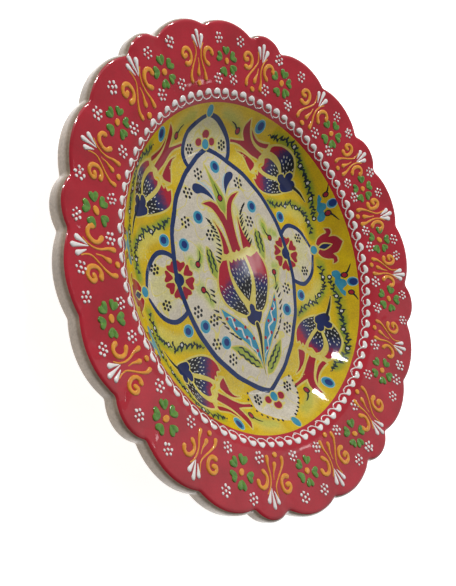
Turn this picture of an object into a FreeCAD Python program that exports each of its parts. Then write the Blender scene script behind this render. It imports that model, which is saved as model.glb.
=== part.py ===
import FreeCAD, Part
import math
import os
import Sketcher

# Scalloped earthenware plate lying on its foot ring, in millimetres.
# Z is the axis of the plate, and Z = 0 is the plane that the foot ring stands on.
# +Y points at the upper tip of the painted medallion. Bearings run clockwise from +Y, in degrees.

doc = FreeCAD.newDocument("ScallopedPlate")

# ---------------------------------------------------------------- driving dimensions
sheet = doc.addObject("Spreadsheet::Sheet", "Sizes")
DIMENSIONS = {
    # plate profile, top side: corners that the fillets round
    "floor_radius": 83.3,
    "floor_height": 12.0,
    "shoulder_radius": 106.8,
    "shoulder_height": 30.8,
    "rim_radius": 152.0,
    "rim_height": 39.6,
    "well_fillet": 32.0,
    "shoulder_fillet": 26.0,
    # underside
    "under_floor_radius": 86.1,
    "under_floor_height": 4.0,
    "under_shoulder_radius": 110.4,
    "under_shoulder_height": 22.6,
    "edge_height": 29.0,
    "under_wall_fillet": 24.0,
    "foot_outer_radius": 74.0,
    "foot_inner_radius": 66.0,
    "bare_foot": 1.5,
    # scallops: one narrow lobe between two broad ones, eight times round
    "scallop_repeats": 8,
    "scallop_bearing": 21.7,
    "core_radius": 143.8,
    "narrow_lobe_offset": 130.8,
    "narrow_lobe_radius": 20.7,
    "broad_lobe_offset": 108.8,
    "broad_lobe_radius": 43.0,
    "broad_lobe_turn": 15.0,
    "valley_fillet": 2.5,
    "lip_fillet": 3.2,
    "under_lip_fillet": 3.0,
    # glaze and enamel
    "glaze": 0.4,
    "painted_radius": 102.4,
    "lip_glaze_drop": 1.8,
    "enamel": 0.8,
    "clearance": 0.01,
    # enamel motifs
    "petal_radius": 2.6,
    "petal_offset": 6.1,
    "petal_count": 5,
    "centre_radius": 2.1,
    "scroll_radius": 3.4,
    "scroll_half_width": 1.2,
    "scroll_blob": 2.1,
    "stem_radius": 34.0,
    "stem_half_width": 0.7,
    "stem_blob": 1.5,
    "drop_radius": 1.4,
    "drop_tail_radius": 9.0,
    "drop_tail_half_width": 0.5,
    "dot_radius": 1.5,
    "bead_radius": 0.75,
    "bead_height": 0.6,
    "bead_ring": 2.5,
    "wave_count": 86,
    "wave_blob": 1.4,
    "wave_tail_radius": 3.2,
    "wave_tail_half_width": 0.45,
    "wave_head_radius": 108.3,
}
for row, (alias, value) in enumerate(DIMENSIONS.items(), start=1):
    sheet.set("A%d" % row, alias)
    sheet.set("B%d" % row, str(value))
    sheet.setAlias("B%d" % row, alias)
doc.recompute()


def size(alias):
    """Value of a driving dimension."""
    return float(sheet.get(alias))


# ---------------------------------------------------------------- hand-laid places, as bearings
FLOWERS = [6, 29, 53.8, 74.8, 92, 111.5, 135.8, 161.5, 186.3, 211.8, 239.5, 266.5, 291.8, 316.3, 340.2]
FLOWER_RADIUS = 126.3
ORNAMENTS = [18.2, 43, 64.8, 83.5, 101.5, 123.8, 150.5, 173.5, 198.8, 225.2, 254.5, 280.8, 304.3, 328.5,
             354]
OUTER_DOTS = [3.5, 11.5, 26.5, 35.5, 52.2, 58.5, 71.8, 78.3, 92.7, 97.5, 109.5, 117, 131, 135.8, 141,
              160, 166, 182.5, 190, 208, 217, 235.5, 246, 261.5, 272.5, 278.5, 289.3, 298.5, 313.5,
              321.5, 337, 345.8]
OUTER_DOTS_RADIUS = 140.5
INNER_DOTS = [2, 8.5, 22.8, 33.8, 48.5, 56.8, 70.3, 75.5, 88, 93.8, 106, 115.5, 129, 140.5, 154, 167,
              178.8, 190, 204.5, 217, 231.8, 245.5, 260.5, 269.5, 286, 296.5, 311, 319.5, 336, 345.5]
INNER_DOTS_RADIUS = 116.5
# places within one ornament: across it, out from the axis, and turn in degrees
LEFT_SCROLL = (-6.2, 132, 0)
RIGHT_SCROLL = (6.6, 129, 0)
LONG_STEM = (-1.0, 136, -30)
SHORT_STEM = (2.2, 130, -24)
ROUND_DOT = (-4.2, 113.1, 0)
DROPS = [(-1.6, 140.2, -30), (3.2, 143.4, 0), (8.2, 140.2, 30)]
PETAL_TURN = 36


# ---------------------------------------------------------------- sketch and body helpers
def new_body(name):
    """Empty body with its own label."""
    body = doc.addObject("PartDesign::Body", name)
    body.Label = name
    return body


def plane_sketch(body, name, role):
    """Sketch on one of the body's own origin planes."""
    sketch = body.newObject("Sketcher::SketchObject", name)
    plane = [part for part in body.Origin.OriginFeatures if part.Role == role][0]
    sketch.AttachmentSupport = [(plane, "")]
    sketch.MapMode = "FlatFace"
    return sketch


def bind(sketch, kind, elements, expression):
    """Dimension whose value is an expression of the sheet's cells."""
    value = float(sheet.evalExpression(expression.replace("Sizes.", "")))
    index = sketch.addConstraint(Sketcher.Constraint(kind, *elements, value))
    sketch.setExpression("Constraints[%d]" % index, expression)


def polygon(sketch, corners):
    """Closed polygon whose corners are pairs of expressions."""
    points = []
    for across, up in corners:
        x = float(sheet.evalExpression(across.replace("Sizes.", "")))
        y = float(sheet.evalExpression(up.replace("Sizes.", "")))
        points.append(FreeCAD.Vector(x, y, 0))
    count = len(points)
    for i in range(count):
        sketch.addGeometry(Part.LineSegment(points[i], points[(i + 1) % count]), False)
    for i in range(count):
        sketch.addConstraint(Sketcher.Constraint("Coincident", i, 2, (i + 1) % count, 1))
    for i, (across, up) in enumerate(corners):
        if points[i].x == 0:
            sketch.addConstraint(Sketcher.Constraint("PointOnObject", i, 1, -2))
        else:
            bind(sketch, "DistanceX", (-1, 1, i, 1), across)
        if points[i].y == 0:
            sketch.addConstraint(Sketcher.Constraint("PointOnObject", i, 1, -1))
        else:
            bind(sketch, "DistanceY", (-1, 1, i, 1), up)


def circle(sketch, x, y, radius):
    """Circle with a bound radius at a place that is given in millimetres."""
    index = sketch.addGeometry(Part.Circle(FreeCAD.Vector(x, y, 0), FreeCAD.Vector(0, 0, 1), 1), False)
    bind(sketch, "Radius", (index,), radius)
    sketch.addConstraint(Sketcher.Constraint("Block", index))


def turned(body, corners):
    """Revolution of a closed profile about the Z axis."""
    sketch = plane_sketch(body, body.Name + "Profile", "XZ_Plane")
    polygon(sketch, corners)
    doc.recompute()
    solid = body.newObject("PartDesign::Revolution", body.Name + "Turned")
    solid.Profile = sketch
    solid.ReferenceAxis = (sketch, ["V_Axis"])
    solid.Angle = 360
    doc.recompute()
    return solid


def ring_edge(feature, radius, height):
    """Name of the circular edge at this radius and height."""
    for number, edge in enumerate(feature.Shape.Edges, start=1):
        point = edge.Vertexes[0].Point
        if abs(math.hypot(point.x, point.y) - radius) < 0.02 and abs(point.z - height) < 0.02:
            if edge.Length > radius:
                return "Edge%d" % number
    raise ValueError("no edge at %.2f, %.2f" % (radius, height))


def round_ring(body, radius, height, fillet):
    """Fillet on a circular edge, its radius bound to the sheet."""
    base = body.Tip
    rounded = body.newObject("PartDesign::Fillet", "%sRound%d" % (body.Name, len(body.Group)))
    rounded.Base = (base, [ring_edge(base, radius, height)])
    rounded.setExpression("Radius", fillet)
    doc.recompute()


def combine(kind, name, base, tool):
    """Cut, Common or Fuse of two objects."""
    result = doc.addObject("Part::" + kind, name)
    result.Base = base
    result.Tool = tool
    result.Label = name
    doc.recompute()
    return result


# ---------------------------------------------------------------- plate form
def scallop_prism(name, inset):
    """Upright prism with the plate's lobed outline, drawn in by inset."""
    body = new_body(name)
    core_sketch = plane_sketch(body, name + "CoreSketch", "XY_Plane")
    circle(core_sketch, 0, 0, "Sizes.core_radius - " + inset)
    core = body.newObject("PartDesign::Pad", name + "Core")
    core.Profile = core_sketch
    core.setExpression("Length", "Sizes.rim_height * 2")
    doc.recompute()
    lobes = []
    for lobe, turn in (("narrow", 0.0), ("broad", 1.0), ("broad", -1.0)):
        offset = size(lobe + "_lobe_offset")
        bearing = math.radians(size("scallop_bearing") + turn * size("broad_lobe_turn"))
        sketch = plane_sketch(body, "%sLobe%dSketch" % (name, len(lobes)), "XY_Plane")
        circle(sketch, offset * math.sin(bearing), offset * math.cos(bearing),
               "Sizes.%s_lobe_radius - %s" % (lobe, inset))
        pad = body.newObject("PartDesign::Pad", "%sLobe%d" % (name, len(lobes)))
        pad.Profile = sketch
        pad.setExpression("Length", "Sizes.rim_height * 2")
        doc.recompute()
        lobes.append(pad)
    pattern = body.newObject("PartDesign::PolarPattern", name + "Scallops")
    pattern.Originals = lobes
    pattern.Axis = (core_sketch, ["N_Axis"])
    pattern.Angle = 360
    pattern.setExpression("Occurrences", "Sizes.scallop_repeats")
    body.Tip = pattern
    doc.recompute()
    valleys = []
    for number, edge in enumerate(pattern.Shape.Edges, start=1):
        first, last = edge.Vertexes[0].Point, edge.Vertexes[-1].Point
        upright = math.hypot(first.x - last.x, first.y - last.y) < 0.001
        if upright and abs(edge.Length - 2 * size("rim_height")) < 0.001:
            flat = len(edge.Vertexes) == 2 and not is_seam(pattern.Shape, edge)
            if flat:
                valleys.append("Edge%d" % number)
    rounded = body.newObject("PartDesign::Fillet", name + "Valleys")
    rounded.Base = (pattern, valleys)
    rounded.setExpression("Radius", "Sizes.valley_fillet + " + inset)
    doc.recompute()
    return body


def is_seam(shape, edge):
    """True for the seam of a full cylinder, which has one face on both sides."""
    return len(shape.ancestorsOfType(edge, Part.Face)) < 2


def plate_form(name, inset):
    """Whole plate with lobed, rounded edge, drawn in by inset except at the foot's underside."""
    body = new_body(name + "Turning")
    turned(body, [
        ("0", "Sizes.floor_height - " + inset),
        ("Sizes.floor_radius", "Sizes.floor_height - " + inset),
        ("Sizes.shoulder_radius", "Sizes.shoulder_height - " + inset),
        ("Sizes.rim_radius", "Sizes.rim_height - " + inset),
        ("Sizes.rim_radius", "Sizes.edge_height + " + inset),
        ("Sizes.under_shoulder_radius", "Sizes.under_shoulder_height + " + inset),
        ("Sizes.under_floor_radius", "Sizes.under_floor_height + " + inset),
        ("Sizes.foot_outer_radius - " + inset, "Sizes.under_floor_height + " + inset),
        ("Sizes.foot_outer_radius - " + inset, "0"),
        ("Sizes.foot_inner_radius + " + inset, "0"),
        ("Sizes.foot_inner_radius + " + inset, "Sizes.under_floor_height + " + inset),
        ("0", "Sizes.under_floor_height + " + inset),
    ])
    drawn_in = float(sheet.evalExpression(inset.replace("Sizes.", "")))
    round_ring(body, size("floor_radius"), size("floor_height") - drawn_in, "Sizes.well_fillet")
    round_ring(body, size("shoulder_radius"), size("shoulder_height") - drawn_in,
               "Sizes.shoulder_fillet")
    round_ring(body, size("under_shoulder_radius"), size("under_shoulder_height") + drawn_in,
               "Sizes.under_wall_fillet")
    prism = scallop_prism(name + "Outline", inset)
    lobed = combine("Common", name + "Lobed", body, prism)
    lip = doc.addObject("Part::Fillet", name)
    lip.Base = lobed
    lip.Edges = lip_edges(lobed.Shape, drawn_in)
    lip.Label = name
    doc.recompute()
    return lip


def lip_edges(shape, drawn_in):
    """Edges of the lobed outline with their fillet radii, upper and lower."""
    picked = []
    for number, edge in enumerate(shape.Edges, start=1):
        points = [vertex.Point for vertex in edge.Vertexes]
        outside = all(math.hypot(p.x, p.y) > size("core_radius") for p in points)
        rise = abs(points[0].z - points[-1].z)
        thickness = size("rim_height") - size("edge_height")
        if outside and rise < thickness / 2:
            upper = points[0].z > size("edge_height") + thickness / 2
            radius = size("lip_fillet") if upper else size("under_lip_fillet")
            picked.append((number, radius - drawn_in, radius - drawn_in))
    return picked


plate_outside = plate_form("PlateOutside", "0 * Sizes.glaze")
plate_body = plate_form("plate_body", "Sizes.glaze")


# ---------------------------------------------------------------- glaze layers
def cylinder(name, radius, base, height):
    """Upright cylinder on the axis, its sizes bound to the sheet."""
    solid = doc.addObject("Part::Cylinder", name)
    solid.setExpression("Radius", radius)
    solid.setExpression("Height", height)
    solid.setExpression("Placement.Base.z", base)
    doc.recompute()
    return solid


glaze_shell = combine("Cut", "GlazeShell", plate_outside, plate_body)
upper_side = new_body("UpperSide")
turned(upper_side, [
    ("0", "(Sizes.floor_height + Sizes.under_floor_height) / 2"),
    ("(Sizes.floor_radius + Sizes.under_floor_radius) / 2",
     "(Sizes.floor_height + Sizes.under_floor_height) / 2"),
    ("(Sizes.shoulder_radius + Sizes.under_shoulder_radius) / 2",
     "(Sizes.shoulder_height + Sizes.under_shoulder_height) / 2"),
    ("Sizes.rim_radius", "Sizes.rim_height - Sizes.lip_glaze_drop"),
    ("Sizes.rim_radius * 1.1", "Sizes.rim_height - Sizes.lip_glaze_drop"),
    ("Sizes.rim_radius * 1.1", "Sizes.rim_height * 2"),
    ("0", "Sizes.rim_height * 2"),
])
painted_zone = cylinder("PaintedZone", "Sizes.painted_radius", "0", "Sizes.rim_height * 2")
foot_zone = cylinder("FootZone", "(Sizes.foot_outer_radius + Sizes.foot_inner_radius) / 2", "0",
                     "Sizes.rim_height")
bare_zone = cylinder("BareZone", "Sizes.foot_outer_radius * 1.1", "0", "Sizes.bare_foot")

upper_glaze = combine("Common", "UpperGlaze", glaze_shell, upper_side)
well_glaze = combine("Common", "well_glaze", upper_glaze, painted_zone)
rim_glaze = combine("Cut", "rim_glaze", upper_glaze, painted_zone)
lower_glaze = combine("Cut", "LowerGlaze", combine("Cut", "LowerShell", glaze_shell, upper_side), bare_zone)
foot_well_glaze = combine("Common", "foot_well_glaze", lower_glaze, foot_zone)
back_glaze = combine("Cut", "back_glaze", lower_glaze, foot_zone)


# ---------------------------------------------------------------- enamel motifs
# A motif is drawn once at the origin with +Y outward, as upright prisms. Its copies are laid round
# the rim, and the layer of enamel that lies on the rim cuts them to the rim's slope.
turning = doc.getObject("PlateOutsideTurning")
lifted = doc.addObject("Part::Feature", "LiftedTurning")
lifted.Shape = turning.Shape
lifted.setExpression("Placement.Base.z", "Sizes.enamel")
enamel_layer = combine("Cut", "EnamelLayer", lifted, turning)


def add_pad(body, sketch, length):
    """Upright pad; a tall one passes through the enamel layer anywhere on the rim."""
    pad = body.newObject("PartDesign::Pad", sketch.Name + "Pad")
    pad.Profile = sketch
    pad.setExpression("Length", length)
    doc.recompute()
    return pad


def add_disc(body, x, y, radius, length="Sizes.rim_height * 2"):
    """Upright disc for a blob or a round petal."""
    sketch = plane_sketch(body, "%sDisc%d" % (body.Name, len(body.Group)), "XY_Plane")
    circle(sketch, x, y, radius)
    return add_pad(body, sketch, length), sketch


def add_bow(body, centre, radius, start, end, half_width, length="Sizes.rim_height * 2"):
    """Bent stroke with round ends: an arc of a given radius, from start to end in degrees."""
    sketch = plane_sketch(body, "%sBow%d" % (body.Name, len(body.Group)), "XY_Plane")
    middle = FreeCAD.Vector(centre[0], centre[1], 0)
    up = FreeCAD.Vector(0, 0, 1)
    first, last = math.radians(start), math.radians(end)
    bend, half = size(radius), size(half_width)
    outer = Part.ArcOfCircle(Part.Circle(middle, up, bend + half), first, last)
    inner = Part.ArcOfCircle(Part.Circle(middle, up, bend - half), first, last)
    heel = middle + FreeCAD.Vector(bend * math.cos(first), bend * math.sin(first), 0)
    toe = middle + FreeCAD.Vector(bend * math.cos(last), bend * math.sin(last), 0)
    heel_cap = Part.ArcOfCircle(Part.Circle(heel, up, half), first + math.pi, first + 2 * math.pi)
    toe_cap = Part.ArcOfCircle(Part.Circle(toe, up, half), last, last + math.pi)
    for arc in (outer, inner, heel_cap, toe_cap):
        sketch.addConstraint(Sketcher.Constraint("Block", sketch.addGeometry(arc, False)))
    return add_pad(body, sketch, length)


def rim_surface(radius):
    """Height and slope of the glazed surface at a radius between the well and the edge."""
    wall = math.atan2(size("shoulder_height") - size("floor_height"),
                      size("shoulder_radius") - size("floor_radius"))
    rim = math.atan2(size("rim_height") - size("shoulder_height"),
                     size("rim_radius") - size("shoulder_radius"))
    bend = size("shoulder_fillet")
    tangent = bend * math.tan((wall - rim) / 2)
    if radius > size("shoulder_radius") + tangent * math.cos(rim):
        return size("rim_height") - (size("rim_radius") - radius) * math.tan(rim), rim
    centre_radius = size("shoulder_radius") - tangent * math.cos(wall) + bend * math.sin(wall)
    centre_height = size("shoulder_height") - tangent * math.sin(wall) - bend * math.cos(wall)
    slope = math.asin((centre_radius - radius) / bend)
    return centre_height + bend * math.cos(slope), slope


def lean_on_rim(bearing, radius, lift, turn=0.0):
    """Place on the glazed surface, leaning with it, with the motif's +Y outward and up the slope."""
    height, slope = rim_surface(radius)
    lean = FreeCAD.Rotation(FreeCAD.Vector(1, 0, 0), math.degrees(slope))
    foot = FreeCAD.Vector(0, radius, height) + lean.multVec(FreeCAD.Vector(0, 0, lift))
    local = FreeCAD.Placement(foot, lean.multiply(FreeCAD.Rotation(FreeCAD.Vector(0, 0, 1), turn)))
    swing = FreeCAD.Placement(FreeCAD.Vector(), FreeCAD.Rotation(FreeCAD.Vector(0, 0, 1), -bearing))
    return swing.multiply(local)


def placement(bearing, radius, turn=0.0):
    """Place on the rim, with the motif's +Y outward."""
    angle = math.radians(bearing)
    place = FreeCAD.Placement()
    place.Base = FreeCAD.Vector(radius * math.sin(angle), radius * math.cos(angle), 0)
    place.Rotation = FreeCAD.Rotation(FreeCAD.Vector(0, 0, 1), turn - bearing)
    return place


def lay_copies(name, motif, places):
    """Copies of a motif at hand-laid places, cut to the enamel layer."""
    copies = doc.addObject("Part::Feature", name + "Copies")
    copies.Shape = Part.makeCompound([motif.Shape.copy().transformed(place.toMatrix())
                                      for place in places])
    return combine("Common", name, enamel_layer, copies)


def flower_petals():
    """Ring of round petals."""
    body = new_body("PetalRing")
    pad, sketch = add_disc(body, 0, size("petal_offset"), "Sizes.petal_radius")
    ring = body.newObject("PartDesign::PolarPattern", "PetalRingPattern")
    ring.Originals = [pad]
    ring.Axis = (sketch, ["N_Axis"])
    ring.Angle = 360
    ring.setExpression("Occurrences", "Sizes.petal_count")
    body.Tip = ring
    doc.recompute()
    return body


def single_disc(name, radius):
    """One round bead."""
    body = new_body(name)
    add_disc(body, 0, 0, radius)
    return body


def scroll(name, side, start, end):
    """C scroll drawn from start to end in degrees; side is -1 on the left of its ornament, 1 on the right."""
    body = new_body(name)
    reach = size("scroll_radius")
    add_bow(body, (0, 0), "scroll_radius", start, end, "scroll_half_width")
    add_disc(body, side * 0.25 * reach, -0.95 * reach, "Sizes.scroll_blob")
    return body


def stem(name, sweep):
    """Long stem that starts at the origin, runs inwards and ends in a blob."""
    body = new_body(name)
    bend = size("stem_radius")
    add_bow(body, (bend, 0), "stem_radius", 180, 180 + sweep, "stem_half_width")
    angle = math.radians(180 + sweep)
    add_disc(body, bend + bend * math.cos(angle), bend * math.sin(angle), "Sizes.stem_blob")
    return body


def drop():
    """Teardrop with its blob outward and its tail pointing inward."""
    body = new_body("Drop")
    bend = size("drop_tail_radius")
    add_disc(body, 0, 0, "Sizes.drop_radius")
    add_bow(body, (bend, 0), "drop_tail_radius", 180, 204, "drop_tail_half_width")
    return body


def waves():
    """Chain of hooked drops: each a blob with a thin tail that swings down and round to the next."""
    body = new_body("Wave")
    add_disc(body, 0, 0, "Sizes.wave_blob", "Sizes.enamel")
    add_bow(body, (size("wave_tail_radius"), 0), "wave_tail_radius", 180, 300, "wave_tail_half_width",
            "Sizes.enamel")
    count = int(size("wave_count"))
    middle = size("wave_head_radius") - size("wave_tail_radius") / 2
    upward = FreeCAD.Placement(FreeCAD.Vector(0, size("wave_tail_radius") / 2, 0), FreeCAD.Rotation())
    feature = doc.addObject("Part::Feature", "white_wave_chain")
    feature.Label = "white_wave_chain"
    feature.Shape = Part.makeCompound([
        body.Shape.copy().transformed(
            lean_on_rim(360.0 * number / count, middle, size("clearance")).multiply(upward).toMatrix())
        for number in range(count)])
    return feature


def beads():
    """Clusters of one bead in a ring of six, each a low dome standing on the rim's slope."""
    radius, rise = size("bead_radius"), size("bead_height")
    ball = (radius ** 2 + rise ** 2) / (2 * rise)
    dome = doc.addObject("Part::Sphere", "BeadDome")
    dome.setExpression("Radius", "(Sizes.bead_radius ^ 2 + Sizes.bead_height ^ 2) "
                       "/ (2 * Sizes.bead_height)")
    dome.Angle1 = math.degrees(math.asin((ball - rise) / ball))
    doc.recompute()
    clusters = [(bearing, OUTER_DOTS_RADIUS) for bearing in OUTER_DOTS]
    clusters += [(bearing, INNER_DOTS_RADIUS) for bearing in INNER_DOTS]
    shapes = []
    for bearing, out in clusters:
        offsets = [(0.0, 0.0)]
        for sixth in range(6):
            angle = math.radians(60 * sixth + bearing)
            offsets.append((size("bead_ring") * math.sin(angle), size("bead_ring") * math.cos(angle)))
        for across, along in offsets:
            turn = bearing + math.degrees(math.atan2(across, out + along))
            place = lean_on_rim(turn, math.hypot(out + along, across), size("clearance") - (ball - rise))
            shapes.append(dome.Shape.copy().transformed(place.toMatrix()))
    feature = doc.addObject("Part::Feature", "white_dots")
    feature.Label = "white_dots"
    feature.Shape = Part.makeCompound(shapes)
    return feature


def in_ornaments(*parts):
    """Places of these parts of an ornament, in every ornament."""
    places = []
    for bearing in ORNAMENTS:
        for across, out, turn in parts:
            places.append(placement(bearing + math.degrees(across / out), out, turn))
    return places


green_petals = lay_copies("green_petals", flower_petals(),
                          [placement(bearing, FLOWER_RADIUS, PETAL_TURN) for bearing in FLOWERS])
orange_centres = lay_copies("orange_centres", single_disc("FlowerCentre", "Sizes.centre_radius"),
                            [placement(bearing, FLOWER_RADIUS) for bearing in FLOWERS])
left_scrolls = lay_copies("LeftScrolls", scroll("LeftScroll", -1, 80, 290), in_ornaments(LEFT_SCROLL))
right_scrolls = lay_copies("RightScrolls", scroll("RightScroll", 1, -110, 100), in_ornaments(RIGHT_SCROLL))
long_stems = lay_copies("LongStems", stem("LongStem", 32), in_ornaments(LONG_STEM))
short_stems = lay_copies("ShortStems", stem("ShortStem", 26), in_ornaments(SHORT_STEM))
orange_dots = lay_copies("orange_dots", single_disc("OrangeDot", "Sizes.dot_radius"), in_ornaments(ROUND_DOT))
white_drops = lay_copies("white_drops", drop(), in_ornaments(*DROPS))
white_wave_chain = waves()
white_dots = beads()


def gather(name, groups):
    """One node for enamel of one colour and kind."""
    feature = doc.addObject("Part::Compound", name)
    feature.Links = groups
    feature.Label = name
    doc.recompute()
    return feature


orange_scrolls = gather("orange_scrolls", [left_scrolls, right_scrolls])
orange_stems = gather("orange_stems", [long_stems, short_stems])

# ---------------------------------------------------------------- checks and files
NODES = [plate_body, well_glaze, rim_glaze, back_glaze, foot_well_glaze, green_petals, orange_centres,
         orange_scrolls, orange_stems, orange_dots, white_drops, white_dots, white_wave_chain]
doc.recompute()
for item in doc.Objects:
    if "Invalid" in item.State or "Error" in item.State:
        raise RuntimeError("%s is %s" % (item.Name, item.State))
os.makedirs("parts", exist_ok=True)
for node in NODES:
    if node.Shape.isNull() or not node.Shape.isValid():
        raise RuntimeError("%s has no valid shape" % node.Label)
    node.Shape.exportStep("parts/%s.step" % node.Label)
    box = node.Shape.BoundBox
    print("%-18s %4d solids %10.1f mm3  z %.2f to %.2f" % (
        node.Label, len(node.Shape.Solids), node.Shape.Volume, box.ZMin, box.ZMax))
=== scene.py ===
import math
import random
import bpy
import numpy as np
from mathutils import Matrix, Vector
from mathutils.geometry import delaunay_2d_cdt


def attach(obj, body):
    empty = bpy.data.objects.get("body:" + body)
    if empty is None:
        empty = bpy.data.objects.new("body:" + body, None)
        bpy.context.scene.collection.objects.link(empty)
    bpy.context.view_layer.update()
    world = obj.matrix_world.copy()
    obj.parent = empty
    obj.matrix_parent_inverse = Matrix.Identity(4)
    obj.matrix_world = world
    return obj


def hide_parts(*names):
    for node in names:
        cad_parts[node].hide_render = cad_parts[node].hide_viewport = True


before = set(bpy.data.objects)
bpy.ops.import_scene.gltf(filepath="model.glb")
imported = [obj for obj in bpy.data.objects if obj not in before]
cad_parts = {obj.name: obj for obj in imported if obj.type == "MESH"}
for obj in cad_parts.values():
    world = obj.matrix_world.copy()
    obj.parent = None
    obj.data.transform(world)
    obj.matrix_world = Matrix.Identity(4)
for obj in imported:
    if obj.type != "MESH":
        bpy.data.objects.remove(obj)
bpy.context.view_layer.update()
mm = 0.001            # everything below is worked out in millimetres and scaled by this at the end
hand = random.Random(7)

# Form of the plate, in millimetres. Heights are above the plane that the foot stands on.
plate = {
    "floorHeight": 12.0, "floorCorner": 83.3, "wellBend": 32.0,
    "shoulderHeight": 30.8, "shoulderCorner": 106.8, "shoulderBend": 26.0,
    "rimHeight": 39.6, "rimRadius": 152.0,
    "paintedRadius": 102.4,   # where the painting stops and the red glaze starts
    "skin": 0.36,             # thickness of a glaze layer
    "fluteDepth": 0.35,       # soft grooves run in from the valleys of the edge
    "fluteSwell": 0.3,        # and between them the rim swells by this share of their depth
    "shallowFlute": 0.7, "fluteStart": 119.0, "fluteFull": 145.0, "valleyWidth": 1.7,
    "lipBend": 3.2, "glazeBoundary": 58,   # degrees round the lip where red gives way to beige
    "edgeBottom": 29.0, "underBend": 3.0,
    "underShoulder": (110.4, 22.6), "underFloor": (86.1, 4.0), "footRadius": 74.0, "bareFoot": 1.5,
}
lobes = {"repeats": 8, "bearing": 21.7, "turn": 15.0, "narrow": (130.8, 20.7), "broad": (108.8, 43.0),
         "valley": 2.5, "deepValley": 5.6, "shallowValley": 22.5}

wallSlope = math.atan2(plate["shoulderHeight"] - plate["floorHeight"],
                       plate["shoulderCorner"] - plate["floorCorner"])
rimSlope = math.atan2(plate["rimHeight"] - plate["shoulderHeight"],
                      plate["rimRadius"] - plate["shoulderCorner"])
floorEnd = plate["floorCorner"] - plate["wellBend"] * math.tan(wallSlope / 2)
wallStart = floorEnd + plate["wellBend"] * math.sin(wallSlope)
shoulderTangent = plate["shoulderBend"] * math.tan((wallSlope - rimSlope) / 2)
wallEnd = plate["shoulderCorner"] - shoulderTangent * math.cos(wallSlope)
rimStart = plate["shoulderCorner"] + shoulderTangent * math.cos(rimSlope)
bendCentre = wallEnd + plate["shoulderBend"] * math.sin(wallSlope)
bendHeight = (plate["shoulderHeight"] - shoulderTangent * math.sin(wallSlope)
              - plate["shoulderBend"] * math.cos(wallSlope))


def smooth(x, low, high):
    t = np.clip((x - low) / (high - low), 0, 1)
    return t * t * (3 - 2 * t)


def surface(radius):   # height and slope of the glazed top at any radius
    r = np.asarray(radius, float)
    slope = np.where(r < wallStart, np.arcsin(np.clip((r - floorEnd) / plate["wellBend"], 0, 1)), wallSlope)
    height = plate["floorHeight"] + plate["wellBend"] * (1 - np.cos(slope))
    height = np.where(r > wallStart, height + (r - wallStart) * math.tan(wallSlope), height)
    inBend = np.arcsin(np.clip((bendCentre - r) / plate["shoulderBend"], math.sin(rimSlope), 1))
    height = np.where(r > wallEnd, bendHeight + plate["shoulderBend"] * np.cos(inBend), height)
    slope = np.where(r > wallEnd, inBend, slope)
    rim = plate["rimHeight"] - (plate["rimRadius"] - r) * math.tan(rimSlope)
    return np.where(r > rimStart, rim, height), np.where(r > rimStart, rimSlope, slope)


def fluting(bearing, radius):   # soft grooves that run in from the valleys of the edge
    pitch = 360 / lobes["repeats"]
    offset = np.abs((np.asarray(bearing) - lobes["bearing"] + pitch / 2) % pitch - pitch / 2)
    deep = np.exp(-((offset - lobes["deepValley"]) / plate["valleyWidth"]) ** 2)
    shallow = np.exp(-((offset - lobes["shallowValley"]) / plate["valleyWidth"]) ** 2)
    ramp = smooth(np.asarray(radius, float), plate["fluteStart"], plate["fluteFull"])
    return plate["fluteDepth"] * ramp * (plate["fluteSwell"] - deep - plate["shallowFlute"] * shallow)


def onRim(bearing, radius, rise):   # point that stands rise above the glazed rim
    height, slope = surface(radius)
    a = np.radians(bearing)
    out = radius - rise * np.sin(slope)
    up = height + fluting(bearing, radius) + rise * np.cos(slope)
    return np.stack([out * np.sin(a), out * np.cos(a), up], -1)


def lobedOutline(lobeSteps=18, valleySteps=7):   # points and outward normals round the edge
    discs = []
    for k in range(lobes["repeats"]):
        for turn, (offset, radius) in ((-lobes["turn"], lobes["broad"]), (0, lobes["narrow"]),
                                       (lobes["turn"], lobes["broad"])):
            a = math.radians(lobes["bearing"] + k * 360 / lobes["repeats"] + turn)
            discs.append((np.array([offset * math.sin(a), offset * math.cos(a)]), radius))
    valleys = []
    for i, (a, ra) in enumerate(discs):
        b, rb = discs[(i + 1) % len(discs)]
        ra, rb, gap = ra + lobes["valley"], rb + lobes["valley"], np.linalg.norm(b - a)
        along = (gap * gap + ra * ra - rb * rb) / (2 * gap)
        away = (b - a) / gap
        side = np.array([-away[1], away[0]]) * math.sqrt(ra * ra - along * along)
        valleys.append(max(a + away * along + side, a + away * along - side, key=np.linalg.norm))
    points, normals = [], []

    def arc(centre, radius, start, end, steps, sign):
        first = math.atan2(*(start - centre))
        sweep = (math.atan2(*(end - centre)) - first + math.pi) % (2 * math.pi) - math.pi
        for j in range(steps):
            a = first + sweep * (j + 0.5) / steps
            way = np.array([math.sin(a), math.cos(a)])
            points.append(centre + radius * way)
            normals.append(sign * way)

    for i, (centre, radius) in enumerate(discs):
        arc(centre, radius, valleys[i - 1], valleys[i], lobeSteps, 1)
        arc(valleys[i], lobes["valley"], centre, discs[(i + 1) % len(discs)][0], valleySteps, -1)
    return np.array(points), np.array(normals)


def makePiece(name, points, faces, material, replaced, normals=None, faceMaterials=None):
    mesh = bpy.data.meshes.new(name)
    mesh.from_pydata([tuple(p) for p in np.asarray(points) * mm], [], faces)
    for m in (material if isinstance(material, list) else [material]):
        mesh.materials.append(m)
    if faceMaterials is not None:
        mesh.polygons.foreach_set("material_index", faceMaterials)
    mesh.polygons.foreach_set("use_smooth", [True] * len(mesh.polygons))
    mesh.validate()
    if normals is None:
        mesh.set_sharp_from_angle(angle=math.radians(50))
    else:
        mesh.normals_split_custom_set_from_vertices([tuple(n) for n in normals])
    piece = bpy.data.objects.new(name, mesh)
    bpy.context.scene.collection.objects.link(piece)
    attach(piece, "root")
    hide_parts(replaced)
    return piece


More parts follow.
